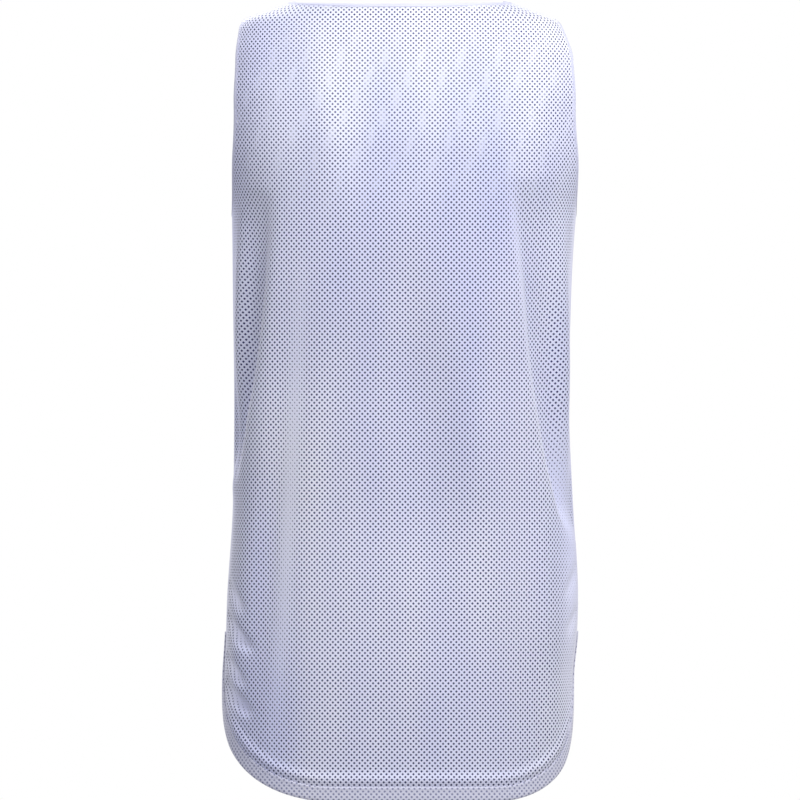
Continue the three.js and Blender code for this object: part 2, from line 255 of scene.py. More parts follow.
CREASES = {
    (Half.BACK, Side.LEFT): Crease(depth=19, bank=12, ledge=32, path=(
        CreaseStop(190, 0.60, 0), CreaseStop(250, 0.63, 0.6), CreaseStop(312, 0.67, 1),
        CreaseStop(372, 0.73, 1), CreaseStop(430, 0.81, 0.8), CreaseStop(490, 0.88, 0),
        CreaseStop(640, 0.66, 0),
    )),
    (Half.BACK, Side.RIGHT): Crease(depth=19, bank=12, ledge=34, path=(
        CreaseStop(180, 0.49, 0), CreaseStop(230, 0.53, 0.5), CreaseStop(300, 0.58, 0.9),
        CreaseStop(356, 0.62, 1), CreaseStop(410, 0.67, 1), CreaseStop(458, 0.72, 1),
        CreaseStop(500, 0.78, 0.8), CreaseStop(545, 0.84, 0), CreaseStop(670, 0.62, 0),
    )),
    (Half.FRONT, Side.LEFT): Crease(depth=13, bank=14, ledge=36, path=(
        CreaseStop(180, 0.50, 0), CreaseStop(260, 0.55, 0.6), CreaseStop(370, 0.66, 1),
        CreaseStop(460, 0.76, 0.7), CreaseStop(540, 0.82, 0), CreaseStop(670, 0.62, 0),
    )),
    (Half.FRONT, Side.RIGHT): Crease(depth=14, bank=13, ledge=34, path=(
        CreaseStop(190, 0.55, 0), CreaseStop(270, 0.60, 0.6), CreaseStop(360, 0.68, 1),
        CreaseStop(440, 0.78, 0.8), CreaseStop(520, 0.84, 0), CreaseStop(650, 0.64, 0),
    )),
}

FOLDS = {
    Half.BACK: (
        Fold(top=230, foot=740, across_top=-102, across_foot=-148, lift=-6, spread=20),
        Fold(top=250, foot=765, across_top=-97, across_foot=-131, lift=0, spread=9, shut=0.55),
        Fold(top=420, foot=770, across_top=-160, across_foot=-186, lift=2, spread=14),
        Fold(top=190, foot=500, across_top=-176, across_foot=-212, lift=7, spread=13),
        Fold(top=220, foot=540, across_top=178, across_foot=206, lift=7, spread=14),
        Fold(top=410, foot=740, across_top=196, across_foot=200, lift=2, spread=21, shut=0.7),
        Fold(top=230, foot=640, across_top=40, across_foot=112, lift=4, spread=22),
        Fold(top=240, foot=700, across_top=0, across_foot=52, lift=-3.5, spread=24),
        Fold(top=440, foot=790, across_top=140, across_foot=172, lift=5, spread=20),
        Fold(top=20, foot=230, across_top=-86, across_foot=-60, lift=2.5, spread=20),
        Fold(top=20, foot=230, across_top=90, across_foot=58, lift=2.5, spread=20),
    ),
    Half.FRONT: (
        Fold(top=300, foot=730, across_top=104, across_foot=150, lift=-6, spread=21),
        Fold(top=330, foot=770, across_top=148, across_foot=184, lift=5, spread=17),
        Fold(top=260, foot=660, across_top=-36, across_foot=-96, lift=4, spread=23),
        Fold(top=280, foot=720, across_top=6, across_foot=-34, lift=-4, spread=26),
        Fold(top=430, foot=770, across_top=-138, across_foot=-170, lift=5, spread=20),
    ),
}


PUCKERS = {
    Half.BACK: (
        Pucker(start=(-214, 580), end=(-164, 612), lift=-5, spread=6),
        Pucker(start=(-218, 612), end=(-154, 650), lift=-9, spread=6),
        Pucker(start=(-214, 652), end=(-164, 684), lift=-7, spread=5),
        Pucker(start=(-210, 680), end=(-154, 714), lift=-8, spread=6),
        Pucker(start=(214, 560), end=(176, 600), lift=-2.5, spread=7),
        Pucker(start=(214, 604), end=(182, 634), lift=-2.5, spread=6),
    ),
    Half.FRONT: (
        Pucker(start=(216, 596), end=(168, 624), lift=-4, spread=5.5),
        Pucker(start=(212, 640), end=(166, 664), lift=-3.5, spread=5),
        Pucker(start=(-212, 580), end=(-172, 618), lift=-3, spread=6.5),
    ),
}


def smooth_through(table: tuple, column: str, depth: Array) -> Array:
    """Smooth curve through a table's column, with no overshoot between its rows.

    Args:
        table: Rows that have a depth and the column.
        column: Name of the column.
        depth: Depths at which the curve is wanted.

    Returns:
        The column's values at those depths.
    """
    xs = np.array([row.depth for row in table], float)
    ys = np.array([getattr(row, column) for row in table], float)
    run = np.diff(xs)
    edge = np.diff(ys) / run
    before, after = edge[:-1], edge[1:]
    same = before * after > 0
    inner = np.where(same, 2 * before * after / np.where(same, before + after, 1), 0)
    slope = np.concatenate([edge[:1], inner, edge[-1:]])
    at = np.clip(np.asarray(depth, float), xs[0], xs[-1])
    k = np.clip(np.searchsorted(xs, at, side="right") - 1, 0, len(run) - 1)
    t = (at - xs[k]) / run[k]
    t2, t3 = t * t, t * t * t
    return (
        (2 * t3 - 3 * t2 + 1) * ys[k]
        + (t3 - 2 * t2 + t) * run[k] * slope[k]
        + (3 * t2 - 2 * t3) * ys[k + 1]
        + (t3 - t2) * run[k] * slope[k + 1]
    )


def unit(arms: Array) -> Array:
    """Vectors of length 1 along the given ones."""
    return arms / np.linalg.norm(arms, axis=-1, keepdims=True)


def smoothstep(t: Array) -> Array:
    """Ease from 0 to 1 as t goes from 0 to 1."""
    u = np.clip(t, 0, 1)
    return u * u * (3 - 2 * u)


@dataclass
class WornForm:
    """The worn jersey's surface: points of the cloth from places on the flat panels.

    A place is a distance across the panel from its middle, and a depth below the neck. The bank of a
    crease draws the net's holes shut by bank_shut at most. It does so bank_place up the bank, over a
    stretch bank_width wide, both in widths of the bank.
    """

    depth_step: float = 1.0
    deepest: float = 804.0
    ring_steps: int = 360
    shares: int = 281
    normal_step: float = 2.0
    seam_clear: float = 16.0
    seam_sink: float = 0.9
    seam_width: float = 2.6
    bank_place: float = 0.85
    bank_width: float = 0.42
    bank_shut: float = 0.9
    pucker_shut: float = 0.8
    quarters: dict = field(default_factory=dict)
    falls: dict = field(default_factory=dict)

    def __post_init__(self) -> None:
        """Tabulate the quarters of every level section."""
        self.levels = np.arange(0, self.deepest + self.depth_step, self.depth_step)
        power = 2 / smooth_through(SECTIONS, "square", self.levels)[:, None]
        angle = np.linspace(0, math.pi / 2, self.ring_steps + 1)[None, :]
        share = np.linspace(0, 1, self.shares)
        for half in Half:
            thick = smooth_through(SECTIONS, half.key, self.levels)[:, None]
            for side in Side:
                width = smooth_through(SECTIONS, side.key, self.levels)[:, None]
                x = width * np.sin(angle) ** power
                y = thick * np.clip(np.cos(angle), 0, 1) ** power
                y[:, -1] = 0
                run = np.hypot(np.diff(x, axis=1), np.diff(y, axis=1))
                length = np.concatenate([np.zeros((len(x), 1)), np.cumsum(run, axis=1)], axis=1)
                total = length[:, -1]
                xs = np.array([np.interp(share * total[i], length[i], x[i]) for i in range(len(x))])
                ys = np.array([np.interp(share * total[i], length[i], y[i]) for i in range(len(x))])
                self.quarters[half, side] = (xs, ys, total)
            fall = np.hypot(np.gradient(thick[:, 0], self.levels), 1.0)
            self.falls[half] = np.concatenate([[0], np.cumsum(fall[:-1] * self.depth_step)])

    def reach(self, half: Half, side: Side, depth: Array) -> Array:
        """Distance across the cloth from a panel's middle to the side, at each depth."""
        return np.interp(depth, self.levels, self.quarters[half, side][2])

    def reach_at(self, half: Half, across: Array, depth: Array) -> Array:
        """Distance across the cloth to the side on which each place lies.

        Args:
            half: Back or front.
            across: Distances across the panel from its middle.
            depth: Depths below the neck.

        Returns:
            The distance for each place.
        """
        left = self.reach(half, Side.LEFT, depth)
        right = self.reach(half, Side.RIGHT, depth)
        return np.where(across < 0, left, right)

    def fall(self, half: Half, depth: Array) -> Array:
        """Distance down the cloth at a panel's middle, for each depth."""
        return np.interp(depth, self.levels, self.falls[half])

    def depth_of(self, half: Half, fall: Array) -> Array:
        """Depth for each distance down the cloth at a panel's middle."""
        return np.interp(fall, self.falls[half], self.levels)

    def _lookup(self, half: Half, side: Side, share: Array, depth: Array) -> tuple:
        """Read a quarter's table between its rows and columns.

        Args:
            half: Back or front.
            side: Left or right.
            share: Shares of the way from the panel's middle to the side.
            depth: Depths below the neck.

        Returns:
            Distances from the jersey's middle, to the side and out.
        """
        xs, ys, _ = self.quarters[half, side]
        row = np.clip(depth / self.depth_step, 0, len(self.levels) - TABLE_END)
        column = np.clip(share, 0, 1) * (self.shares - TABLE_END)
        r, c = row.astype(int), column.astype(int)
        a, b = row - r, column - c

        def mix(grid: Array) -> Array:
            """Blend the four entries around each place.

            Args:
                grid: The table.

            Returns:
                The blended values.
            """
            top = grid[r, c] * (1 - b) + grid[r, c + 1] * b
            foot = grid[r + 1, c] * (1 - b) + grid[r + 1, c + 1] * b
            return top * (1 - a) + foot * a

        return mix(xs), mix(ys)

    def _smooth_point(self, half: Half, sign: Array, share: Array, depth: Array) -> Array:
        """Points of the form without its folds, in millimetres.

        Args:
            half: Back or front.
            sign: The sign of each place's side.
            share: Shares of the way from the panel's middle to the side.
            depth: Depths below the neck.

        Returns:
            A point for each place.
        """
        xl, yl = self._lookup(half, Side.LEFT, share, depth)
        xr, yr = self._lookup(half, Side.RIGHT, share, depth)
        left = sign < 0
        x = np.where(left, -xl, xr)
        y = np.where(left, yl, yr) * half.value
        return np.stack([x, y, -depth], axis=-1)

    def normal(self, half: Half, across: Array, depth: Array) -> Array:
        """Outward normals of the form without its folds.

        Args:
            half: Back or front.
            across: Distances across the panel from its middle.
            depth: Depths below the neck.

        Returns:
            A vector of length 1 for each place.
        """
        step = self.normal_step
        sign = np.where(across < 0, -1.0, 1.0)
        reach = self.reach_at(half, across, depth)
        share = np.minimum(np.abs(across) / reach, 1 - step / reach)
        top, foot = np.maximum(0.0, depth - step), depth + step
        down = self._smooth_point(half, sign, share, foot) - self._smooth_point(half, sign, share, top)
        inner = share - step / reach
        towards = self._smooth_point(half, np.where(inner < 0, -sign, sign), np.abs(inner), depth)
        beyond = self._smooth_point(half, sign, share + step / reach, depth)
        beside = (beyond - towards) * sign[..., None]
        return unit(np.cross(beside, down) * half.value)

    def _crease(self, half: Half, side: Side, across: Array, depth: Array) -> tuple[Array, Array]:
        """How far each place lies beyond one side's crease, and how much of the crease is there.

        Args:
            half: Back or front.
            side: Left or right.
            across: Distances across the panel from its middle.
            depth: Depths below the neck.

        Returns:
            Distances beyond the crease's line, and its strength, which is 0 on the other side.
        """
        path = CREASES[half, side].path
        here = (across < 0) == (side is Side.LEFT)
        off = np.abs(across) - smooth_through(path, "share", depth) * self.reach_at(half, across, depth)
        return off, np.where(here, smooth_through(path, "reach", depth), 0)

    def lift(self, half: Half, across: Array, depth: Array) -> Array:
        """How far the drapes and folds lift the cloth off the smooth form.

        Args:
            half: Back or front.
            across: Distances across the panel from its middle.
            depth: Depths below the neck.

        Returns:
            The lift at each place, in millimetres.
        """
        reach = self.reach_at(half, across, depth)
        total = np.zeros_like(depth)
        for side in Side:
            crease = CREASES[half, side]
            off, there = self._crease(half, side, across, depth)
            run = np.where(off < 0, crease.bank, crease.ledge)
            total -= crease.depth * there * np.exp(-((off / run) ** 2))
        for fold in (*FOLDS[half], *PUCKERS[half]):
            total += fold.lift * fold.strength(across, depth)
        total *= smoothstep((reach - np.abs(across)) / self.seam_clear)
        seamed = (depth > CUT.armhole_foot) & (depth < CUT.vent_top)
        groove = self.seam_sink * np.exp(-(((reach - np.abs(across)) / self.seam_width) ** 2))
        return total - np.where(seamed, groove, 0)

    def openness(self, half: Half, across: Array, depth: Array) -> Array:
        """How open the net's holes are, from 0 to 1, since drapes and folds draw them shut.

        Args:
            half: Back or front.
            across: Distances across the panel from its middle.
            depth: Depths below the neck.

        Returns:
            The openness at each place.
        """
        shut = np.zeros_like(depth)
        for side in Side:
            off, there = self._crease(half, side, across, depth)
            bank = np.exp(-(((off / CREASES[half, side].bank + self.bank_place) / self.bank_width) ** 2))
            shut = np.maximum(shut, self.bank_shut * there * bank)
        for fold in FOLDS[half]:
            shut = np.maximum(shut, fold.shut * fold.strength(across, depth))
        for pucker in PUCKERS[half]:
            shut = np.maximum(shut, self.pucker_shut * pucker.strength(across, depth))
        return 1 - shut

    def cloth(self, half: Half, across: Array, depth: Array, out: Array | float) -> Array:
        """Points of the cloth in metres, at a distance out from the outer layer's face.

        Args:
            half: Back or front.
            across: Distances across the panel from its middle.
            depth: Depths below the neck.
            out: Distance outwards, or below 0 towards the body.

        Returns:
            An array with one point for each place.
        """
        across, depth = np.broadcast_arrays(np.asarray(across, float), np.asarray(depth, float))
        sign = np.where(across < 0, -1.0, 1.0)
        share = np.abs(across) / self.reach_at(half, across, depth)
        base = self._smooth_point(half, sign, share, depth)
        shift = self.lift(half, across, depth) + out
        return (base + self.normal(half, across, depth) * shift[..., None]) * MM


@dataclass
class PanelCut:
    """The outline of one half's panel, in places on the flat cloth.

    The cloth swells out by swell_out in a ridge that lies swell_above the hem band. The ridge starts
    swell_start below the vents' top and is whole swell_run further down.
    """

    form: WornForm
    half: Half
    sample_step: float = 0.5
    neck_level: float = 5.0
    swell_out: float = 2.6
    swell_above: float = 7.0
    swell_spread: float = 4.5
    swell_start: float = 40.0
    swell_run: float = 60.0
    swell_step: float = 4.0

    def cut_in(self, side: Side, depth: Array) -> Array:
        """How far in from the side the cloth is cut, at each depth.

        Args:
            side: Left or right.
            depth: Depths below the neck.

        Returns:
            The distance at each depth.
        """
        depth = np.asarray(depth, float)
        hole = CUT.armhole
        t = np.clip((depth - CUT.shoulder_end) / (CUT.armhole_foot - CUT.shoulder_end), 0, 1)
        arch = getattr(hole, self.half.key) * np.clip(np.sin(math.pi * t**hole.peak), 0, 1) ** hole.fullness
        tail = TAILS[self.half, side]
        u = np.clip((depth - CUT.vent_top) / (CUT.length(self.half) - CUT.vent_top), 0, 1)
        corner = tail.reach * (1 - np.sqrt(np.clip(1 - u**tail.fullness, 0, 1)))
        return CUT.seam_gap / 2 + np.where(t < 1, arch, corner)

    def outer(self, side: Side, depth: Array) -> Array:
        """Distance across from the middle to the panel's outer edge."""
        return self.form.reach(self.half, side, depth) - self.cut_in(side, depth)

    def neck(self, side: Side, depth: Array) -> Array:
        """Distance across from the middle to the front's neckline, or 0 where there is cloth.

        Args:
            side: Left or right.
            depth: Depths below the neck.

        Returns:
            The distance at each depth.
        """
        depth = np.asarray(depth, float)
        if self.half is Half.BACK:
            return np.zeros_like(depth)
        t = np.clip(depth / CUT.front_neck_drop, 0, 1)
        wanted = (CUT.neck_half_width + CUT.binding) * np.sqrt(1 - t * t)
        xs, _, total = self.form.quarters[self.half, side]
        share = np.linspace(0, 1, xs.shape[1])
        rows = np.clip((depth / self.form.depth_step).round().astype(int), 0, len(xs) - 1)
        pairs = zip(wanted.ravel(), rows.ravel())
        reach = np.array([np.interp(want, xs[row], share * total[row]) for want, row in pairs])
        limit = self.form.reach(self.half, side, depth) - CUT.seam_gap / 2
        return np.where(t < 1, np.minimum(reach.reshape(depth.shape), limit), 0)

    def top(self, across: Array) -> Array:
        """Depth of the panel's top edge at each place across.

        Args:
            across: Distances across the panel from its middle.

        Returns:
            The depth for each place.
        """
        if self.half is Half.FRONT:
            return np.full_like(across, CUT.seam_top)
        width = self.form.reach_at(self.half, across, np.full_like(across, self.neck_level))
        share = np.clip(np.abs(across) / width, 0, 1)
        return CUT.seam_top + (CUT.back_neck_dip + CUT.binding - CUT.seam_top) * (1 - share**2)

    def inside(self, across: Array, depth: Array) -> Array:
        """Whether each place lies on the panel.

        Args:
            across: Distances across the panel from its middle.
            depth: Depths below the neck.

        Returns:
            True or false for each place.
        """
        result = (depth > self.top(across)) & (depth < CUT.length(self.half))
        for side in Side:
            here = (across < 0) == (side is Side.LEFT)
            size = np.abs(across)
            held = np.clip(depth, 0, CUT.length(self.half))
            ok = (size < self.outer(side, held)) & (size >= self.neck(side, held))
            result &= np.where(here, ok, True)
        return result

    def armhole_edge(self, side: Side, stops: int = 150) -> Array:
        """Places down the armhole, from the shoulder to its foot.

        Args:
            side: Left or right.
            stops: Number of places.

        Returns:
            The places, closest together at both ends.
        """
        t = (1 - np.cos(np.linspace(0, math.pi, stops))) / 2
        depth = CUT.shoulder_end + t * (CUT.armhole_foot - CUT.shoulder_end)
        depth[-1] -= SEAM_HAIR
        return np.stack([side.value * self.outer(side, depth), depth], axis=-1)

    def tail_edge(self, side: Side, stops: int = 150) -> Array:
        """Places down the vent and round the tail, from the side seam's end to the hem.

        Args:
            side: Left or right.
            stops: Number of places.

        Returns:
            The places.
        """
        angle = np.linspace(0, math.pi / 2, stops)
        depth = CUT.vent_top + np.sin(angle) * (CUT.length(self.half) - CUT.vent_top)
        return np.stack([side.value * self.outer(side, depth), depth], axis=-1)

    def neck_edge(self, side: Side, stops: int = 120) -> Array:
        """Places along one side of the neckline, from the panel's middle to the shoulder seam.

        Args:
            side: Left or right.
            stops: Number of places.

        Returns:
            The places.
        """
        if self.half is Half.BACK:
            width = self.form.reach(self.half, side, CUT.seam_top) - CUT.seam_gap / 2
            across = side.value * np.linspace(0, width, stops)
            return np.stack([across, self.top(across)], axis=-1)
        angle = np.linspace(math.pi / 2, math.asin(CUT.seam_top / CUT.front_neck_drop), stops)
        depth = CUT.front_neck_drop * np.sin(angle)
        across = side.value * self.neck(side, depth)
        across[0] = 0
        return np.stack([across, depth], axis=-1)

    def edge_samples(self) -> Array:
        """Close-set places all round the panel's outline.

        Returns:
            The places.
        """
        parts = []
        for side in Side:
            seam = np.arange(CUT.armhole_foot, CUT.vent_top, self.sample_step)
            shoulder = np.arange(CUT.seam_top, CUT.shoulder_end, self.sample_step)
            for depths in (shoulder, seam):
                parts.append(np.stack([side.value * self.outer(side, depths), depths], axis=-1))
            for edge in (self.armhole_edge(side), self.tail_edge(side), self.neck_edge(side)):
                parts.append(resample(edge, self.sample_step))
        ends = [self.tail_edge(side)[-1] for side in Side]
        parts.append(resample(np.array(ends), self.sample_step))
        return np.concatenate(parts)

    def swell(self, across: Array, depth: Array) -> Array:
        """How far the cloth swells out just above the stiffer hem band, in millimetres.

        It dies away up the vents.

        Args:
            across: Distances across the panel from its middle.
            depth: Depths below the neck.

        Returns:
            The swell at each place.
        """
        near = np.full(len(across), np.inf)
        for place in self.hem_edge(self.swell_step):
            near = np.minimum(near, (across - place[0]) ** 2 + (depth - place[1]) ** 2)
        below = np.clip((depth - CUT.vent_top - self.swell_start) / self.swell_run, 0, 1)
        above = np.sqrt(near) - CUT.hem - self.swell_above
        return self.swell_out * below * np.exp(-((above / self.swell_spread) ** 2))

    def hem_edge(self, step: float) -> Array:
        """Places along the vents and the hem, from one side seam's end to the other's.

        Args:
            step: Distance from one place to the next.

        Returns:
            The places.
        """
        left = self.tail_edge(Side.LEFT)
        right = self.tail_edge(Side.RIGHT)[::-1]
        return resample(np.concatenate([left, right]), step)


def resample(path: Array, step: float) -> Array:
    """Places at even distances along a path, with both its ends.

    Args:
        path: The path's points.
        step: Greatest distance from one place to the next.

    Returns:
        The new points.
    """
    run = np.concatenate([[0], np.cumsum(np.linalg.norm(np.diff(path, axis=0), axis=1))])
    count = max(2, int(math.ceil(run[-1] / step)) + 1)
    at = np.linspace(0, run[-1], count)
    return np.stack([np.interp(at, run, path[:, k]) for k in range(path.shape[1])], axis=-1)


@dataclass
class Lattice:
    """A net of cells laid on a panel, cut off along its outline.

    It is laid half_span to each side of the panel's middle. Rows beyond the form go past_hem below
    the hem, where no cell is kept.
    """

    cut: PanelCut
    pitch_across: float
    pitch_down: float
    diamond: bool
    half_span: float = 290.0
    past_hem: float = 5.0

    def build(self) -> tuple[Array, Array, Array]:
        """Lay out the cells.

        Returns:
            Places across, depths, and the faces' four corners.
        """
        form, half = self.cut.form, self.cut.half
        a, b = self.pitch_across, self.pitch_down
        if self.diamond:
            a, b = a / 2, b / 2
        columns = int(self.half_span / a)
        rows = int(form.fall(half, CUT.length(half)) / b) + 2
        i, j = np.meshgrid(np.arange(-columns, columns + 1), np.arange(0, rows + 1))
        across = (i * a).astype(float)
        fall = (j * b).astype(float)
        depth = form.depth_of(half, fall)
        depth = np.where(fall > form.falls[half][-1], CUT.length(half) + self.past_hem, depth)
        index = np.arange(i.size).reshape(i.shape)
        if self.diamond:
            body = (slice(1, -1), slice(1, -1))
            keep = ((i + j)[body] % 2 == 0) & self.cut.inside(across[body], depth[body])
            corners = [index[1:-1, :-2], index[2:, 1:-1], index[1:-1, 2:], index[:-2, 1:-1]]
        else:
            middle_across = across[:-1, :-1] + a / 2
            middle_depth = (depth[:-1, :-1] + depth[1:, 1:]) / 2
            keep = self.cut.inside(middle_across, middle_depth)
            corners = [index[:-1, :-1], index[1:, :-1], index[1:, 1:], index[:-1, 1:]]
        faces = np.stack([c[keep] for c in corners], axis=-1)
        used, inverse = np.unique(faces, return_inverse=True)
        faces = inverse.reshape(faces.shape)
        across, depth = across.ravel()[used], depth.ravel()[used]
        outside = ~self.cut.inside(across, depth)
        samples = self.cut.edge_samples()
        for k in np.nonzero(outside)[0]:
            gaps = (samples[:, 0] - across[k]) ** 2 + (samples[:, 1] - depth[k]) ** 2
            across[k], depth[k] = samples[gaps.argmin()]
        return across, depth, faces


def flat_uv(form: WornForm, half: Half, across: Array, depth: Array) -> Array:
    """UV coordinates of places, as they lie on the flat cloth.

    Args:
        form: The worn form.
        half: Back or front.
        across: Distances across the panel from its middle.
        depth: Depths below the neck.

    Returns:
        Two numbers for each place.
    """
    u = UV_MIDDLE + across / UV_SPAN
    v = 1 - form.fall(half, depth) / UV_SPAN
    return np.stack([u, v], axis=-1)


def outward(faces: Array, half: Half) -> Array:
    """Turn faces that run across and then down, so that they face out of the jersey."""
    return faces if half is Half.BACK else faces[:, ::-1]


def put_in_scene(name: str, data: bpy.types.ID) -> Piece:
    """Make an object of a mesh, light or camera.

    Args:
        name: Name of the object.
        data: The mesh, light or camera.

    Returns:
        The object, in the scene.
    """
    thing = bpy.data.objects.new(name, data)
    bpy.context.scene.collection.objects.link(thing)
    return thing


def make_mesh(name: str, points: Array, faces: list | Array, uv: Array | None) -> Piece:
    """Make a smooth mesh object.

    Args:
        name: Name of the object.
        points: Its points, in metres.
        faces: Its faces' corners.
        uv: UV coordinates, one for each point, or None.

    Returns:
        The object, in the scene.
    """
    mesh = bpy.data.meshes.new(name)
    mesh.from_pydata(points.reshape(-1, 3).tolist(), [], [list(map(int, f)) for f in faces])
    mesh.validate()
    mesh.polygons.foreach_set("use_smooth", [True] * len(mesh.polygons))
    if uv is not None:
        layer = mesh.uv_layers.new(name=CLOTH_UV)
        corner = np.empty(len(mesh.loops), dtype=np.int32)
        mesh.loops.foreach_get("vertex_index", corner)
        layer.data.foreach_set("uv", uv[corner].astype(np.float32).ravel())
    mesh.update()
    return put_in_scene(name, mesh)


def close_shell(faces: Array, count: int) -> list:
    """Faces of a closed shell, from the faces of its outer side.

    Args:
        faces: Corners of the outer side's faces.
        count: Number of points on each side. The inner side's follow the outer side's.

    Returns:
        The faces of both sides and of the edge between them.
    """
    rolled = np.roll(faces, -1, axis=1)
    starts, ends = faces.ravel(), rolled.ravel()
    known = set(zip(starts.tolist(), ends.tolist()))
    rim = [(b, a, a + count, b + count) for a, b in known if (b, a) not in known and a != b]
    return [*faces.tolist(), *(faces[:, ::-1] + count).tolist(), *rim]


class TreeMaker:
    """A short way to build a node tree."""

    def __init__(self, tree: bpy.types.NodeTree) -> None:
        """Keep the tree."""
        self.tree = tree

    def add(self, kind: str, inputs: dict | None = None, **settings: object) -> bpy.types.Node:
        """Add a node.

        Args:
            kind: The node's type.
            inputs: Values or sockets for its inputs, by name or index.
            settings: The node's own settings.

        Returns:
            The node.
        """
        node = self.tree.nodes.new(kind)
        for key, value in settings.items():
            setattr(node, key, value)
        for key, value in (inputs or {}).items():
            if isinstance(value, Socket):
                self.tree.links.new(value, node.inputs[key])
            else:
                node.inputs[key].default_value = value
        return node

    def math(self, operation: str, a: object, b: object = 0.0) -> Socket:
        """Add a Math node and return its output."""
        return self.add("ShaderNodeMath", {0: a, 1: b}, operation=operation).outputs[0]

    def vector(self, operation: str, a: object, b: object = (0.0, 0.0, 0.0)) -> Socket:
        """Add a Vector Math node and return its vector output."""
        return self.add("ShaderNodeVectorMath", {0: a, 1: b}, operation=operation).outputs[0]

    def blend(self, factor: object, a: object, b: object) -> Socket:
        """Add a colour Mix node, whose colour sockets are its inputs 6 and 7, and return its colour."""
        return self.add("ShaderNodeMix", {0: factor, 6: a, 7: b}, data_type="RGBA").outputs[2]

    def ramp(self, value: object, low: float, high: float, start: float = 0.0, end: float = 1.0) -> Socket:
        """Add a Map Range node, from low and high to start and end, and return its result."""
        inputs = {"Value": value, "From Min": low, "From Max": high, "To Min": start, "To Max": end}
        return self.add("ShaderNodeMapRange", inputs).outputs[0]

    def noise(self, place: object, scale: float, detail: float, output: str = "Fac") -> Socket:
        """Add a Noise Texture node and return one of its outputs."""
        inputs = {"Vector": place, "Scale": scale, "Detail": detail}
        return self.add("ShaderNodeTexNoise", inputs).outputs[output]

    def dot(self, a: object, b: object) -> Socket:
        """Add a dot product and return its value."""
        return self.add("ShaderNodeVectorMath", {0: a, 1: b}, operation="DOT_PRODUCT").outputs["Value"]


@dataclass(frozen=True)
class Dots:
    """A staggered lattice of round or tall dots, in millimetres on the flat cloth.

    The lean is how far the lattice's columns lean left for each millimetre up, and the slant how far
    each dot leans right. Tall is a dot's height over its width, wander how far the dots stray from
    their places, and ground the mask's strength between them. The band, if there is one, gives the
    distances down the cloth at which the mask starts, is whole, thins out and ends.
    """

    across: float
    down: float
    radius: float
    tall: float = 1.0
    lean: float = 0.0
    slant: float = 0.0
    soft: float = 0.35
    wander: float = 0.0
    wander_scale: float = 14.0
    ground: float = 0.0
    band: tuple[float, float, float, float] | None = None

    def mask(self, maker: TreeMaker) -> Socket:
        """Build a mask that is 1 in the dots.

        Args:
            maker: The material's tree.

        Returns:
            The mask's socket.
        """
        uv = maker.add("ShaderNodeUVMap", uv_map=CLOTH_UV).outputs[0]
        place = self._strayed(maker, uv) if self.wander else uv
        column = maker.dot(place, (UV_SPAN / self.across, UV_SPAN * self.lean / self.across, 0.0))
        row = maker.dot(place, (0.0, UV_SPAN / self.down, 0.0))
        lattice = maker.add("ShaderNodeCombineXYZ", {0: column, 1: row}).outputs[0]
        masks = []
        for offset in (0.0, 0.5):
            moved = maker.vector("ADD", lattice, (offset, offset, 0.0))
            cell = maker.vector("SUBTRACT", maker.vector("FRACTION", moved), (0.5, 0.5, 0.0))
            beside = maker.dot(cell, (self.across, -(self.lean + self.slant) * self.down, 0.0))
            above = maker.dot(cell, (0.0, self.down / self.tall, 0.0))
            arm = maker.add("ShaderNodeCombineXYZ", {0: beside, 1: above}).outputs[0]
            far = maker.add("ShaderNodeVectorMath", {0: arm}, operation="LENGTH").outputs["Value"]
            masks.append(maker.ramp(far, self.radius + self.soft, self.radius - self.soft))
        mask = maker.math("MAXIMUM", maker.math("MAXIMUM", masks[0], masks[1]), self.ground)
        if self.band is None:
            return mask
        height = maker.dot(uv, (0.0, 1.0, 0.0))
        start, whole, thin, end = (1 - fall / UV_SPAN for fall in self.band)
        for low, high in ((end, thin), (start, whole)):
            mask = maker.math("MULTIPLY", mask, maker.ramp(height, low, high))
        return mask

    def _strayed(self, maker: TreeMaker, uv: Socket) -> Socket:
        """Shift the places a little, unevenly.

        Args:
            maker: The material's tree.
            uv: The places' UV coordinates.

        Returns:
            The shifted coordinates' socket.
        """
        spread = NOISE_GAIN * self.wander / UV_SPAN
        cloud = maker.noise(uv, self.wander_scale, 1.0, output="Color")
        centred = maker.vector("SUBTRACT", cloud, (0.5, 0.5, 0.5))
        shift = maker.vector("MULTIPLY", centred, (spread, spread, 0.0))
        return maker.vector("ADD", uv, shift)


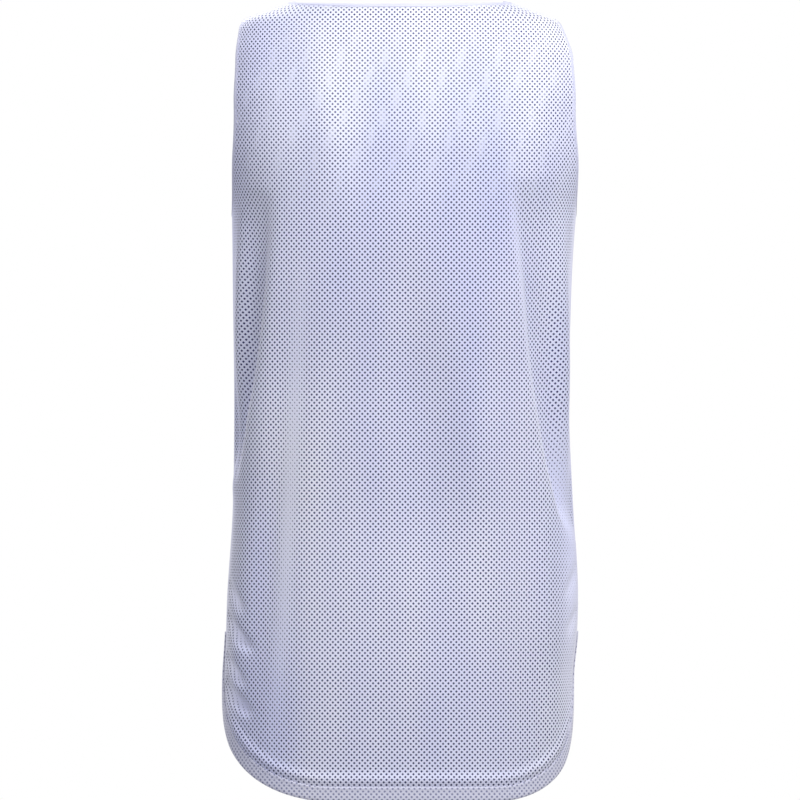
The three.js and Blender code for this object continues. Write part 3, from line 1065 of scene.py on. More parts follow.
@dataclass(frozen=True)
class KnitFinish:
    """A knitted polyester cloth with a fine rib and, if it has them, printed-through holes.

    Its colour drifts between two shades in soft clouds drawn down the cloth, and in fine fuzz.
    """

    name: str
    colour: Triple
    shade: Triple
    rib: float = 0.9
    rib_scale: float = 0.314
    rib_depth: float = 0.00007
    rib_strength: float = 0.8
    rib_waver: float = 1.2
    rib_waver_scale: float = 0.8
    roughness: float = 0.62
    rougher: float = 0.08
    smoother: float = 0.06
    sheen: float = 0.25
    sheen_roughness: float = 0.45
    specular: float = 0.35
    cloud_scale: float = 9.0
    cloud_flat: float = 0.28
    cloud_detail: float = 2.0
    cloud_low: float = 0.32
    cloud_high: float = 0.68
    cloud_part: float = 0.6
    fuzz_scale: float = 900.0
    fuzz_detail: float = 2.0
    fuzz_part: float = 0.4
    fuzz_height: float = 0.5
    holes: Dots | None = None
    hole_colour: Triple = (0.0, 0.0, 0.0)
    hole_strength: float = 1.0
    hole_depth: float = 4.0

    def build(self) -> Material:
        """Build the material.

        Returns:
            The material, with nodes.
        """
        material = bpy.data.materials.new(self.name)
        material.use_nodes = True
        maker = TreeMaker(material.node_tree)
        shader = material.node_tree.nodes["Principled BSDF"]
        place = maker.add("ShaderNodeTexCoord").outputs["Object"]
        drawing = {"Vector": place, "Scale": (1.0, 1.0, self.cloud_flat)}
        drawn = maker.add("ShaderNodeMapping", drawing).outputs[0]
        cloud = maker.noise(drawn, self.cloud_scale, self.cloud_detail)
        cloud = maker.ramp(cloud, self.cloud_low, self.cloud_high)
        fuzz = maker.noise(place, self.fuzz_scale, self.fuzz_detail)
        soft = maker.math("MULTIPLY", cloud, self.cloud_part)
        blend = maker.math("ADD", soft, maker.math("MULTIPLY", fuzz, self.fuzz_part))
        colour = maker.blend(blend, (*self.shade, 1.0), (*self.colour, 1.0))
        height = maker.math("ADD", self._ribs(maker), maker.math("MULTIPLY", fuzz, self.fuzz_height))
        if self.holes is not None:
            mask = self.holes.mask(maker)
            part = maker.math("MULTIPLY", mask, self.hole_strength)
            colour = maker.blend(part, colour, (*self.hole_colour, 1.0))
            height = maker.math("SUBTRACT", height, maker.math("MULTIPLY", mask, self.hole_depth))
        relief = {"Strength": self.rib_strength, "Distance": self.rib_depth, "Height": height}
        rough = maker.ramp(blend, 0.0, 1.0, self.roughness - self.smoother, self.roughness + self.rougher)
        maker.tree.links.new(colour, shader.inputs["Base Color"])
        maker.tree.links.new(maker.add("ShaderNodeBump", relief).outputs[0], shader.inputs["Normal"])
        maker.tree.links.new(rough, shader.inputs["Roughness"])
        shader.inputs["Sheen Weight"].default_value = self.sheen
        shader.inputs["Sheen Roughness"].default_value = self.sheen_roughness
        shader.inputs["Specular IOR Level"].default_value = self.specular
        return material

    def _ribs(self, maker: TreeMaker) -> Socket:
        """Build the height of the rib that runs down the flat cloth.

        Args:
            maker: The material's tree.

        Returns:
            The height's socket.
        """
        uv = maker.add("ShaderNodeUVMap", uv_map=CLOTH_UV).outputs[0]
        flat = maker.add("ShaderNodeMapping", {"Vector": uv, "Scale": (UV_SPAN, UV_SPAN, 1.0)}).outputs[0]
        wave = {
            "Vector": flat, "Scale": self.rib_scale / self.rib, "Distortion": self.rib_waver, "Detail": 1.0,
            "Detail Scale": self.rib_waver_scale,
        }
        bands = {"wave_type": "BANDS", "bands_direction": "X", "wave_profile": "SIN"}
        return maker.add("ShaderNodeTexWave", wave, **bands).outputs["Fac"]


# Pale mesh, whose holes are real.
PALE_NET = KnitFinish("pale_net", colour=(0.82, 0.825, 0.925), shade=(0.57, 0.595, 0.875))

# Face of the navy net that lies under the pale one. Round the shoulders the two nets' holes come into
# line in slanting rows of tall patches, where light from behind shows through both; these pale patches are
# painted light on the navy.
NAVY_UNDER_PALE = KnitFinish(
    "navy_under_pale", colour=(0.022, 0.028, 0.165), shade=(0.014, 0.018, 0.125), sheen=0.12,
    holes=Dots(
        across=38.5, down=43.5, radius=3.5, tall=3.3, lean=0.264, slant=0.18, soft=1.9, wander=6.0,
        ground=0.2, band=(25.0, 75.0, 165.0, 235.0),
    ),
    # The pale of the patches is painted light, where light shows through both nets.
    hole_colour=(0.52, 0.53, 0.66), hole_strength=0.95,
)

# Face of the navy net that lies against the wearer, whose holes show pale cloth.
NAVY_NET = KnitFinish(
    "navy_net", colour=(0.030, 0.036, 0.115), shade=(0.020, 0.024, 0.085), sheen=0.15,
    holes=Dots(across=4.85, down=4.85, radius=0.85, lean=0.05),
    hole_colour=(0.26, 0.27, 0.42), hole_strength=0.8,
)

# Pale mesh turned and doubled, whose holes are part covered.
DOUBLED_NET = KnitFinish(
    "doubled_net", colour=(0.69, 0.69, 0.80), shade=(0.60, 0.61, 0.77),
    holes=Dots(across=CELL_ACROSS, down=CELL_DOWN, radius=1.0, soft=0.45),
    hole_colour=(0.10, 0.11, 0.26), hole_strength=0.85,
)

# Smooth pale knit of the rolled edges and seam tapes.
EDGE_KNIT = KnitFinish("edge_knit", colour=(0.62, 0.63, 0.78), shade=(0.56, 0.57, 0.75), rib=0.6)

# Pale polyester sewing thread.
THREAD = KnitFinish("pale_thread", colour=(0.66, 0.67, 0.80), shade=(0.60, 0.61, 0.77), rib=0.25, sheen=0.4)


class MeshTree:
    """A Geometry Nodes tree that makes one mesh from another, with a named input for each size."""

    def __init__(self, name: str, sizes: tuple[str, ...]) -> None:
        """Start the tree.

        Args:
            name: Name of the tree.
            sizes: Names of its inputs for sizes.
        """
        self.tree = bpy.data.node_groups.new(name, "GeometryNodeTree")
        face = self.tree.interface
        face.new_socket("Geometry", in_out="INPUT", socket_type="NodeSocketGeometry")
        floats = [face.new_socket(size, in_out="INPUT", socket_type="NodeSocketFloat") for size in sizes]
        face.new_socket("Geometry", in_out="OUTPUT", socket_type="NodeSocketGeometry")
        self.identifiers = {socket.name: socket.identifier for socket in floats}
        self.make = TreeMaker(self.tree)
        self.start = self.make.add("NodeGroupInput").outputs

    def end(self, mesh: Socket, material: Material) -> None:
        """Make the mesh real, give it its material and end the tree.

        Args:
            mesh: The socket that gives the mesh.
            material: The result's material.
        """
        real = self.make.add("GeometryNodeRealizeInstances", {"Geometry": mesh}).outputs[0]
        dressed = self.make.add("GeometryNodeSetMaterial", {"Geometry": real, "Material": material})
        self.make.add("NodeGroupOutput", {0: dressed.outputs[0]})

    def run(self, piece: Piece, sizes: dict[str, float]) -> Piece:
        """Run the tree on a piece and keep its result as a plain mesh.

        Args:
            piece: The object that the tree starts from.
            sizes: Values of the tree's inputs, by name.

        Returns:
            A new object that holds the result. The first object is removed.
        """
        modifier = piece.modifiers.new("tree", "NODES")
        modifier.node_group = self.tree
        for name, value in sizes.items():
            modifier[self.identifiers[name]] = value
        graph = bpy.context.evaluated_depsgraph_get()
        mesh = bpy.data.meshes.new_from_object(piece.evaluated_get(graph), depsgraph=graph)
        mesh_name = piece.name
        piece.modifiers.remove(modifier)
        bpy.data.objects.remove(piece)
        mesh.name = mesh_name
        return put_in_scene(mesh_name, mesh)


class NetTree(MeshTree):
    """Geometry Nodes that open a hole in each cell of a net and sink the hole's rim.

    The net's points carry "flat", whose first two numbers are the place on the flat cloth. The third
    is how open the holes are there.
    """

    merge_distance: float = 1e-5

    def __init__(self, material: Material) -> None:
        """Build the tree.

        Args:
            material: The net's material.
        """
        super().__init__("open_net", ("Hole share", "Rim sink"))
        make = self.make
        place = make.add("GeometryNodeInputPosition").outputs[0]
        normal = make.add("GeometryNodeInputNormal").outputs[0]
        flat = self._named("flat")
        mesh = make.add("GeometryNodeSplitEdges", {"Mesh": self.start[0]}).outputs[0]
        for name, value in (("cell_middle", place), ("cell_flat", flat), ("cell_out", normal)):
            mesh = self._store(mesh, name, self._on_face(value))
        middle, middle_flat, out = (self._named(name) for name in ("cell_middle", "cell_flat", "cell_out"))
        share = make.math("MULTIPLY", self.start["Hole share"], make.dot(middle_flat, (0.0, 0.0, 1.0)))
        sunk = self._scaled(out, self.start["Rim sink"])
        rim = make.vector("SUBTRACT", self._towards(middle, place, share), sunk)
        cells = {"Mesh": mesh, "Offset Scale": 0.0, "Individual": True}
        grown = make.add("GeometryNodeExtrudeMesh", cells, mode="FACES")
        top = grown.outputs["Top"]
        moving = {"Geometry": grown.outputs[0], "Selection": top, "Position": rim}
        mesh = make.add("GeometryNodeSetPosition", moving).outputs[0]
        mesh = self._store(mesh, "flat", self._towards(middle_flat, flat, share), {"Selection": top})
        opening = {"Geometry": mesh, "Selection": top}
        mesh = make.add("GeometryNodeDeleteGeometry", opening, domain="FACE").outputs[0]
        mesh = self._store(mesh, CLOTH_UV, self._named("flat"), data_type="FLOAT2", domain="CORNER")
        joining = {"Geometry": mesh, "Distance": self.merge_distance}
        mesh = make.add("GeometryNodeMergeByDistance", joining).outputs[0]
        smooth = make.add("GeometryNodeSetShadeSmooth", {"Geometry": mesh, "Shade Smooth": True})
        self.end(smooth.outputs[0], material)

    def _named(self, name: str) -> Socket:
        """Read a named vector attribute."""
        reader = self.make.add("GeometryNodeInputNamedAttribute", {"Name": name}, data_type="FLOAT_VECTOR")
        return reader.outputs[0]

    def _on_face(self, value: Socket) -> Socket:
        """Average a vector over each face.

        Args:
            value: The vector's socket.

        Returns:
            The average's socket.
        """
        node = self.make.add("GeometryNodeFieldOnDomain", data_type="FLOAT_VECTOR", domain="FACE")
        self.make.tree.links.new(value, node.inputs[0])
        return node.outputs[0]

    def _store(
        self, mesh: Socket, name: str, value: Socket, more: dict | None = None,
        data_type: str = "FLOAT_VECTOR", domain: str = "POINT",
    ) -> Socket:
        """Store a value as an attribute.

        Args:
            mesh: The socket that gives the mesh.
            name: Name of the attribute.
            value: The value's socket.
            more: Other inputs, by name.
            data_type: Type of the value.
            domain: What the value is stored on.

        Returns:
            The socket of the mesh with the attribute.
        """
        inputs = {"Geometry": mesh, "Name": name, "Value": value, **(more or {})}
        kind = "GeometryNodeStoreNamedAttribute"
        return self.make.add(kind, inputs, data_type=data_type, domain=domain).outputs[0]

    def _scaled(self, arm: Socket, size: Socket) -> Socket:
        """Multiply a vector by a number."""
        return self.make.add("ShaderNodeVectorMath", {0: arm, "Scale": size}, operation="SCALE").outputs[0]

    def _towards(self, middle: Socket, place: Socket, share: Socket) -> Socket:
        """Draw a place in towards the cell's middle."""
        arm = self.make.vector("SUBTRACT", place, middle)
        return self.make.vector("ADD", middle, self._scaled(arm, share))


class StitchTree(MeshTree):
    """Geometry Nodes that lay stitches along a path."""

    ball: dict[str, float] = {"Segments": 6, "Rings": 5, "Radius": 1.0}

    def __init__(self, material: Material) -> None:
        """Build the tree.

        Args:
            material: The thread's material.
        """
        super().__init__("lay_stitches", ("Pitch", "Stitch length", "Thread radius"))
        make, start = self.make, self.start
        curve = make.add("GeometryNodeMeshToCurve", {"Mesh": start[0]}).outputs[0]
        spacing = {"Curve": curve, "Length": start["Pitch"]}
        spaced = make.add("GeometryNodeResampleCurve", spacing, mode="LENGTH")
        tangent = make.add("GeometryNodeInputTangent").outputs[0]
        turn = make.add("FunctionNodeAlignRotationToVector", {"Vector": tangent}, axis="Z")
        round_, half = start["Thread radius"], make.math("MULTIPLY", start["Stitch length"], 0.5)
        size = make.add("ShaderNodeCombineXYZ", {0: round_, 1: round_, 2: half}).outputs[0]
        ball = make.add("GeometryNodeMeshUVSphere", self.ball).outputs[0]
        smooth = make.add("GeometryNodeSetShadeSmooth", {"Geometry": ball, "Shade Smooth": True})
        laid = make.add("GeometryNodeInstanceOnPoints", {
            "Points": spaced.outputs[0], "Instance": smooth.outputs[0], "Rotation": turn.outputs[0],
            "Scale": size,
        })
        self.end(laid.outputs[0], material)


@dataclass
class OuterNet:
    """The pale outer layer of one half, a real net with its holes open."""

    form: WornForm
    half: Half
    hole_share: float = 0.475
    rim_sink: float = 0.38

    def build(self, tree: NetTree) -> Piece:
        """Cut, open and dress the net.

        Args:
            tree: The tree that opens the holes.

        Returns:
            The net's object.
        """
        cut = PanelCut(self.form, self.half)
        across, depth, faces = Lattice(cut, CELL_ACROSS, CELL_DOWN, diamond=True).build()
        points = self.form.cloth(self.half, across, depth, cut.swell(across, depth))
        piece = make_mesh(f"{self.half.key}_net", points, outward(faces, self.half), None)
        flat = piece.data.attributes.new("flat", "FLOAT_VECTOR", "POINT")
        uv = flat_uv(self.form, self.half, across, depth)
        openness = self.form.openness(self.half, across, depth)
        flat.data.foreach_set("vector", np.column_stack([uv, openness]).astype(np.float32).ravel())
        piece = tree.run(piece, {"Hole share": self.hole_share, "Rim sink": self.rim_sink * MM})
        for name in ("flat", "cell_middle", "cell_flat", "cell_out"):
            if name in piece.data.attributes:
                piece.data.attributes.remove(piece.data.attributes[name])
        return piece


@dataclass
class InnerLayer:
    """The navy inner layer of one half, a thin closed shell."""

    form: WornForm
    half: Half
    out: float = -1.15
    thickness: float = 0.7
    pitch: float = 5.0

    def build(self, under: Material, within: Material) -> Piece:
        """Make and dress the layer.

        Args:
            under: Its face under the pale net.
            within: Its face against the wearer.

        Returns:
            The layer's object.
        """
        cut = PanelCut(self.form, self.half)
        across, depth, faces = Lattice(cut, self.pitch, self.pitch, diamond=False).build()
        faces = outward(faces, self.half)
        swell = cut.swell(across, depth)
        outs = (self.out, self.out - self.thickness)
        points = np.concatenate([self.form.cloth(self.half, across, depth, out + swell) for out in outs])
        uv = flat_uv(self.form, self.half, across, depth)
        shell = close_shell(faces, len(across))
        piece = make_mesh(f"{self.half.key}_lining_net", points, shell, np.concatenate([uv, uv]))
        piece.data.materials.append(under)
        piece.data.materials.append(within)
        faced = [0] * len(faces) + [1] * (len(piece.data.polygons) - len(faces))
        piece.data.polygons.foreach_set("material_index", faced)
        return piece


@dataclass
class HemBand:
    """The turned hem of one half, which also edges its vents.

    The profile gives the band's section, in from the cut edge and out from the cloth.
    """

    form: WornForm
    half: Half
    step: float = 3.0
    profile: tuple[tuple[float, float], ...] = (
        (14.0, 0.15), (14.1, 0.6), (13.2, 1.0), (11.0, 0.8), (7.0, 1.05), (2.5, 1.0), (0.3, 0.85),
        (-0.5, 0.1), (-0.6, -1.0), (-0.3, -2.0), (0.4, -2.3), (3.0, -2.3), (3.0, -1.95), (0.3, -1.9),
        (-0.1, -1.2), (0.0, 0.0), (0.5, 0.15), (7.0, 0.2),
    )
    stitch_insets: tuple[float, ...] = (12.0, 9.0)
    stitch_out: float = 1.0
    stitch_step: float = 1.5

    @staticmethod
    def _inset(edge: Array, amount: float) -> Array:
        """Move places in from the edge along the flat cloth.

        Args:
            edge: Places along the edge.
            amount: How far to move them.

        Returns:
            The new places.
        """
        run = unit(np.gradient(edge, axis=0))
        inward = np.stack([run[:, 1], -run[:, 0]], axis=-1)
        return edge + inward * amount

    def build(self, material: Material) -> Piece:
        """Make and dress the band.

        Args:
            material: The doubled mesh.

        Returns:
            The band's object.
        """
        edge = PanelCut(self.form, self.half).hem_edge(self.step)
        rings, uvs = [], []
        for inset, out in self.profile:
            places = self._inset(edge, inset)
            rings.append(self.form.cloth(self.half, places[:, 0], places[:, 1], out))
            uvs.append(flat_uv(self.form, self.half, places[:, 0], places[:, 1]))
        points = np.stack(rings, axis=1)
        faces = tube_faces(len(edge), len(self.profile), closed=False)
        if self.half is Half.FRONT:
            faces = [f[::-1] for f in faces]
        piece = make_mesh(f"{self.half.key}_hem_band", points, faces, np.stack(uvs, axis=1).reshape(-1, 2))
        piece.data.materials.append(material)
        return piece

    def stitch_paths(self) -> list[Array]:
        """Points of the rows of stitches along the band.

        Returns:
            An array of points for each row.
        """
        edge = PanelCut(self.form, self.half).hem_edge(self.stitch_step)
        rows = [self._inset(edge, inset) for inset in self.stitch_insets]
        return [self.form.cloth(self.half, row[:, 0], row[:, 1], self.stitch_out) for row in rows]


def tube_faces(stops: int, sides: int, closed: bool) -> list:
    """Faces of a tube of points, closed on itself or with its two ends capped.

    Args:
        stops: Number of rings along the tube.
        sides: Number of points in a ring.
        closed: Whether the tube meets itself.

    Returns:
        The faces' corners.
    """
    faces = []
    for k in range(stops if closed else stops - 1):
        following = (k + 1) % stops
        for i in range(sides):
            j = (i + 1) % sides
            faces.append([k * sides + i, k * sides + j, following * sides + j, following * sides + i])
    if not closed:
        faces.append(list(range(sides))[::-1])
        faces.append([(stops - 1) * sides + i for i in range(sides)])
    return faces


@dataclass
class RolledEdge:
    """A narrow rolled edge that closes both layers round an opening."""

    form: WornForm
    outside: float = 3.5
    inside: float = 1.3
    half_height: float = 1.178
    side_power: float = 0.75
    top_power: float = 0.8
    step: float = 2.0
    middle: float = -1.0
    sides: int = 16
    path_rounds: int = 3
    normal_rounds: int = 5
    stitch_off: float = -0.4
    stitch_rise: float = 1.32

    def armhole(self, side: Side) -> list[tuple[Half, Array]]:
        """Edges that the armhole's binding follows, down the back and up the front.

        Args:
            side: Left or right.

        Returns:
            Each edge's half and its places.
        """
        back = PanelCut(self.form, Half.BACK).armhole_edge(side)
        front = PanelCut(self.form, Half.FRONT).armhole_edge(side)[::-1]
        return [(Half.BACK, back), (Half.FRONT, front)]

    def neck(self) -> list[tuple[Half, Array]]:
        """Edges that the neck's binding follows, across the back and round the front.

        Returns:
            Each edge's half and its places.
        """
        back = PanelCut(self.form, Half.BACK)
        front = PanelCut(self.form, Half.FRONT)
        across = np.concatenate([back.neck_edge(Side.LEFT)[::-1], back.neck_edge(Side.RIGHT)[1:]])
        under = np.concatenate([front.neck_edge(Side.RIGHT)[::-1], front.neck_edge(Side.LEFT)[1:]])
        return [(Half.BACK, across), (Half.FRONT, under)]

    def frames(self, runs: list[tuple[Half, Array]]) -> tuple[Array, Array, Array]:
        """Evenly spaced points along the edge, with the cloth's normal and the way off the cloth.

        Args:
            runs: The edges, each with its half, that make one closed path.

        Returns:
            Points in metres, normals, and directions away from the cloth.
        """
        form, middle = self.form, self.middle
        points = np.concatenate([form.cloth(half, edge[:, 0], edge[:, 1], middle) for half, edge in runs])
        normals = np.concatenate([form.normal(half, edge[:, 0], edge[:, 1]) for half, edge in runs])
        data = resample(np.column_stack([points, normals * MM]), self.step * MM)[:-1]
        points, normals = settle(data[:, :3], self.path_rounds), settle(data[:, 3:] / MM, self.normal_rounds)
        tangent = unit(np.roll(points, -1, axis=0) - np.roll(points, 1, axis=0))
        away = unit(np.cross(tangent, normals))
        centre = points.mean(axis=0)
        if np.sum(away * (centre - points)) < 0:
            away = -away
        up = unit(np.cross(away, tangent))
        up *= np.sign(np.sum(up * normals, axis=1))[:, None]
        return points, up, away

    def build(self, name: str, runs: list[tuple[Half, Array]], material: Material) -> Piece:
        """Make and dress one rolled edge.

        Args:
            name: Name of the piece.
            runs: The edges that it follows.
            material: The edge's knit.

        Returns:
            The edge's object.
        """
        points, up, away = self.frames(runs)
        angle = np.linspace(0, 2 * math.pi, self.sides, endpoint=False)
        half_width = (self.outside + self.inside) / 2
        shift = (self.outside - self.inside) / 2
        along_away = shift + half_width * rounded(np.cos(angle), self.side_power)
        along_up = self.half_height * rounded(np.sin(angle), self.top_power)
        rings = (
            points[:, None, :]
            + away[:, None, :] * (along_away * MM)[None, :, None]
            + up[:, None, :] * (along_up * MM)[None, :, None]
        )
        run = np.linspace(0, 1, len(points))[:, None] * np.ones(self.sides)[None, :]
        girth = np.linspace(0, STRIP_UV, self.sides)[None, :] * np.ones(len(points))[:, None]
        uv = np.stack([girth, run], axis=-1).reshape(-1, 2)
        faces = tube_faces(len(points), self.sides, closed=True)
        piece = make_mesh(name, rings, faces, uv)
        turn_out(piece)
        piece.data.materials.append(material)
        return piece

    def stitch_path(self, runs: list[tuple[Half, Array]]) -> Array:
        """Points of the line of stitches along the edge.

        Args:
            runs: The edges that it follows.

        Returns:
            The points, with the first one again at the end.
        """
        points, up, off = self.frames(runs)
        path = points + off * (self.stitch_off * MM) + up * (self.stitch_rise * MM)
        return np.concatenate([path, path[:1]])


@dataclass
class SeamTape:
    """The turned-in cloth of a seam, a band that bridges both panels between the layers."""

    form: WornForm
    side: Side
    top: float
    foot: float
    width: float = 3.4
    step: float = 3.0
    outs: tuple[float, float] = (-0.4, -0.75)
    shares: tuple[float, ...] = (1.0, 0.6, 0.25, 0.0)
    stitch_inset: float = 2.0
    stitch_out: float = 0.15
    stitch_step: float = 1.5
    stitch_end: float = 1.0

    def _edge(self, half: Half, depth: Array, inset: float, out: float) -> Array:
        """Points along one panel's side, at an inset from the seam."""
        across = self.side.value * (self.form.reach(half, self.side, depth) - inset)
        return self.form.cloth(half, across, depth, out)

    def build(self, name: str, material: Material) -> Piece:
        """Make and dress the tape.

        Args:
            name: Name of the piece.
            material: The tape's knit.

        Returns:
            The tape's object.
        """
        depth = np.linspace(self.top, self.foot, max(3, int((self.foot - self.top) / self.step)))
        outer, inner = self.outs
        ring = [(Half.BACK, share, outer) for share in self.shares]
        ring += [(Half.FRONT, share, outer) for share in self.shares[-2::-1]]
        ring += [(half, share, inner) for half, share, _ in reversed(ring)]
        lines = [self._edge(half, depth, share * self.width, out) for half, share, out in ring]
        points = np.stack(lines, axis=1)
        uv = np.stack(np.meshgrid(np.linspace(0, STRIP_UV, len(ring)), depth / UV_SPAN), axis=-1)
        faces = tube_faces(len(depth), len(ring), closed=False)
        piece = make_mesh(name, points, faces, uv.reshape(-1, 2))
        turn_out(piece)
        piece.data.materials.append(material)
        return piece

    def stitch_paths(self) -> list[Array]:
        """Points of a row of stitches on each panel."""
        depth = np.arange(self.top + self.stitch_end, self.foot - self.stitch_end, self.stitch_step)
        return [self._edge(half, depth, self.stitch_inset, self.stitch_out) for half in Half]


def rounded(values: Array, power: float) -> Array:
    """Raise the sizes of values to a power and keep their signs."""
    return np.sign(values) * np.abs(values) ** power


def settle(values: Array, rounds: int) -> Array:
    """Smooth a closed run of values.

    Args:
        values: The values, in order.
        rounds: How many times to smooth them.

    Returns:
        The smoothed values.
    """
    for _ in range(rounds):
        values = (np.roll(values, 1, axis=0) + 2 * values + np.roll(values, -1, axis=0)) / 4
    return values


def turn_out(piece: Piece) -> None:
    """Turn a closed piece's faces outwards if they point in.

    Args:
        piece: The piece's object.
    """
    mesh = piece.data
    mesh.calc_loop_triangles()
    points = np.empty(len(mesh.vertices) * 3)
    mesh.vertices.foreach_get("co", points)
    points = points.reshape(-1, 3)
    corners = np.empty(len(mesh.loop_triangles) * 3, dtype=np.int32)
    mesh.loop_triangles.foreach_get("vertices", corners)
    a, b, c = (points[corners.reshape(-1, 3)[:, k]] for k in range(3))
    if np.sum(a * np.cross(b, c)) < 0:
        mesh.flip_normals()


@dataclass
class Stitching:
    """Lines of sewing, laid along paths."""

    tree: StitchTree
    pitch: float = 3.2
    length: float = 2.5
    radius: float = 0.2

    def build(self, name: str, paths: list[Array]) -> Piece:
        """Lay the stitches of one piece.

        Args:
            name: Name of the piece.
            paths: Its lines of points, in metres.

        Returns:
            The stitches' object.
        """
        mesh = bpy.data.meshes.new(name)
        points, edges = [], []
        for path in paths:
            first = len(points)
            points.extend(path.tolist())
            edges.extend([first + k, first + k + 1] for k in range(len(path) - 1))
        mesh.from_pydata(points, edges, [])
        sizes = {"Pitch": self.pitch, "Stitch length": self.length, "Thread radius": self.radius}
        return self.tree.run(put_in_scene(name, mesh), {size: value * MM for size, value in sizes.items()})


@dataclass(frozen=True)
class Lamp:
    """A soft square light, in metres and watts."""

    name: str
    place: Triple
    size: float
    power: float


LAMPS = (
    Lamp("key", place=(1.0, -1.5, 1.3), size=1.3, power=58),
    Lamp("fill", place=(-2.4, -2.4, 1.8), size=2.4, power=46),
    Lamp("far_key", place=(-1.4, 2.6, 1.5), size=1.5, power=84),
    Lamp("far_fill", place=(4.4, 3.6, 0.2), size=3.0, power=60),
)


@dataclass
class Studio:
    """Plain pale floor, white surround, soft lights and the camera."""

    distance: float = 14.0
    view_height: float = -0.4
    picture: float = 0.8
    floor_level: float = -2.1
    floor_radius: float = 1.2
    floor_sides: int = 64
    floor_colour: Triple = (0.86, 0.86, 0.87)
    floor_roughness: float = 0.9
    glow_colour: Triple = (0.97, 0.97, 1.0)
    glow: float = 0.35
    sensor: float = 36.0
    farthest: float = 100.0

    def build(self) -> None:
        """Set the stage."""
        self._world()
        self._floor()
        for lamp in LAMPS:
            self._light(lamp)
        self._camera()
        scene = bpy.context.scene
        scene.view_settings.view_transform = "Standard"
        scene.view_settings.look = "None"

    def _world(self) -> None:
        """Make a surround that is white to the eye, and softer as a light."""
        world = bpy.data.worlds.new("surround")
        bpy.context.scene.world = world
        world.use_nodes = True
        make = TreeMaker(world.node_tree)
        world.node_tree.nodes.clear()
        seen = make.add("ShaderNodeLightPath").outputs["Is Camera Ray"]
        soft = make.add("ShaderNodeBackground", {"Color": (*self.glow_colour, 1.0), "Strength": self.glow})
        white = make.add("ShaderNodeBackground", {"Color": (1.0, 1.0, 1.0, 1.0), "Strength": 1.0})
        mix = make.add("ShaderNodeMixShader", {0: seen, 1: soft.outputs[0], 2: white.outputs[0]})
        make.add("ShaderNodeOutputWorld", {0: mix.outputs[0]})

    def _floor(self) -> None:
        """Lay a round floor, well below the jersey."""
        angles = [2 * math.pi * k / self.floor_sides for k in range(self.floor_sides)]
        ring = [(self.floor_radius * math.cos(a), self.floor_radius * math.sin(a)) for a in angles]
        mesh = bpy.data.meshes.new("floor")
        mesh.from_pydata([(x, y, self.floor_level) for x, y in ring], [], [list(range(self.floor_sides))])
        material = bpy.data.materials.new("floor_paint")
        material.use_nodes = True
        shader = material.node_tree.nodes["Principled BSDF"]
        shader.inputs["Base Color"].default_value = (*self.floor_colour, 1.0)
        shader.inputs["Roughness"].default_value = self.floor_roughness
        mesh.materials.append(material)
        floor = put_in_scene("floor", mesh)

    def _light(self, lamp: Lamp) -> None:
        """Hang a light so that it faces the jersey.

        Args:
            lamp: The light's sizes.
        """
        data = bpy.data.lights.new(lamp.name, "AREA")
        data.size, data.energy = lamp.size, lamp.power
        light = put_in_scene(lamp.name, data)
        light.location = lamp.place
        aim = Vector((0, 0, self.view_height)) - Vector(lamp.place)
        light.rotation_euler = aim.to_track_quat("-Z", "Y").to_euler()

    def _camera(self) -> None:
        """Set a long lens level with the jersey's middle, behind the wearer."""
        data = bpy.data.cameras.new("camera")
        data.sensor_width = self.sensor
        data.lens = self.sensor * self.distance / self.picture
        data.clip_end = self.farthest
        camera = put_in_scene("camera", data)
        camera.location = (0.0, -self.distance, self.view_height)
        camera.rotation_euler = (math.pi / 2, 0.0, 0.0)
        bpy.context.scene.camera = camera


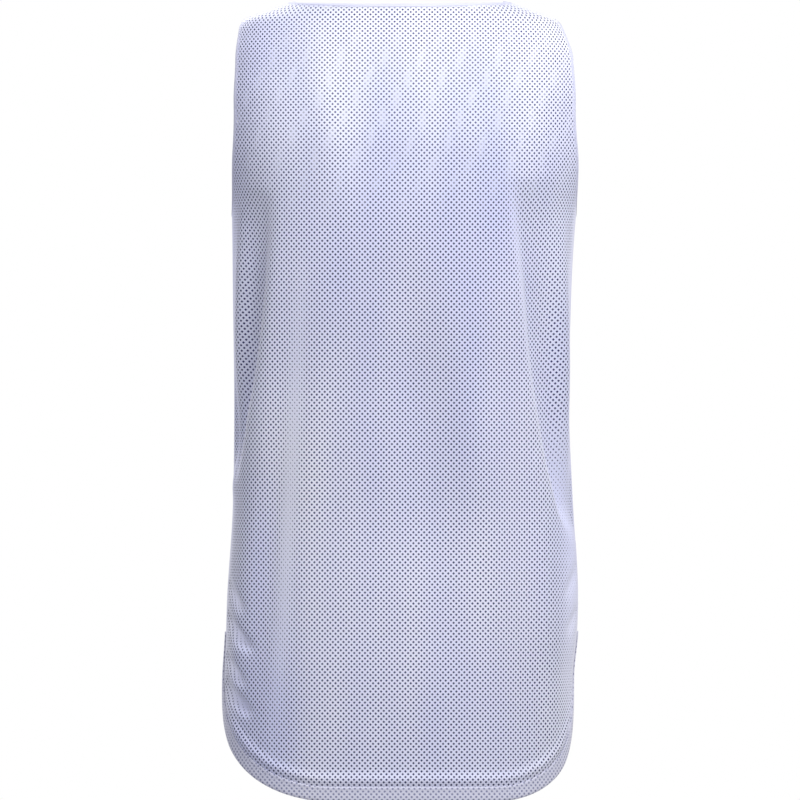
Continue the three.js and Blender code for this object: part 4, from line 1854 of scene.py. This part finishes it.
@dataclass
class Jersey:
    """The whole garment."""

    form: WornForm = field(default_factory=WornForm)
    shoulder_clear: float = 0.5

    def build(self) -> list[Piece]:
        """Make every piece, attach it to the body and hide the solid that it stands for.

        Returns:
            The pieces.
        """
        net_tree = NetTree(PALE_NET.build())
        navy = (NAVY_UNDER_PALE.build(), NAVY_NET.build())
        doubled, edge = DOUBLED_NET.build(), EDGE_KNIT.build()
        stitching = Stitching(StitchTree(THREAD.build()))
        pieces = []
        for half in Half:
            band = HemBand(self.form, half)
            net = OuterNet(self.form, half).build(net_tree)
            inner = InnerLayer(self.form, half).build(*navy)
            hem = band.build(doubled)
            sewing = stitching.build(f"{half.key}_hem_stitches", band.stitch_paths())
            self._report(net, f"{half.key}_outer")
            self._report(inner, f"{half.key}_inner")
            self._report(hem, f"{half.key}_hem")
            self._report(sewing)
            self._declare(half)
            self._declare(half)
            pieces += [net, inner, hem, sewing]
        rolled = RolledEdge(self.form)
        runs = {f"armhole_binding_{side.key}": rolled.armhole(side) for side in Side}
        runs["neck_binding"] = rolled.neck()
        for node, path in runs.items():
            name = node.replace("binding", "edge")
            pieces.append(self._report(rolled.build(name, path, edge), node))
            sewn = stitching.build(f"{name}_stitches", [rolled.stitch_path(path)])
            pieces.append(self._report(sewn))
        return pieces + self._seams(edge, stitching)

    def _seams(self, edge: Material, stitching: Stitching) -> list[Piece]:
        """Make the side and shoulder seams.

        Args:
            edge: The tapes' knit.
            stitching: What sews them.

        Returns:
            The tapes and their stitches.
        """
        spans = {
            "shoulder": (CUT.seam_top + self.shoulder_clear, CUT.shoulder_end),
            "side": (CUT.armhole_foot, CUT.vent_top),
        }
        pieces = []
        for side in Side:
            for place, (top, foot) in spans.items():
                tape = SeamTape(self.form, side, top, foot)
                name = f"{place}_seam_{side.key}"
                pieces.append(self._report(tape.build(name, edge)))
                sewn = stitching.build(f"{name}_stitches", tape.stitch_paths())
                pieces.append(self._report(sewn))
        return pieces

    def _report(self, piece: Piece, node: str | None = None) -> Piece:
        """Attach a piece to its body, hide the solid that it stands for, and log it.

        Args:
            piece: The piece's object.
            node: The solid that it stands for, if there is one.

        Returns:
            The same object.
        """
        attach(piece, BODY)
        if node is not None:
            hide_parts(node)
        LOG.info("%s: %d faces", piece.name, len(piece.data.polygons))
        return piece

    def _declare(self, half: Half) -> None:
        """Work out the rows, fall and length of a half's cut cloth, and keep none of them.

        Args:
            half: Back or front.
        """
        cut = PanelCut(self.form, half)
        depth = np.arange(0.0, CUT.length(half), 1.0)
        rows = sum(np.clip(cut.outer(side, depth) - cut.neck(side, depth), 0, None) for side in Side)
        fall = self.form.fall(half, depth)
        length = float(self.form.fall(half, np.array(CUT.length(half)))) * MM


def main() -> None:
    """Build the studio and the jersey, and log each piece's faces and how many pieces there are."""
    logging.basicConfig(level=logging.INFO, format="%(name)s: %(message)s")
    Studio().build()
    pieces = Jersey().build()
    LOG.info("%d pieces", len(pieces))


if __name__ == "__main__":
    main()
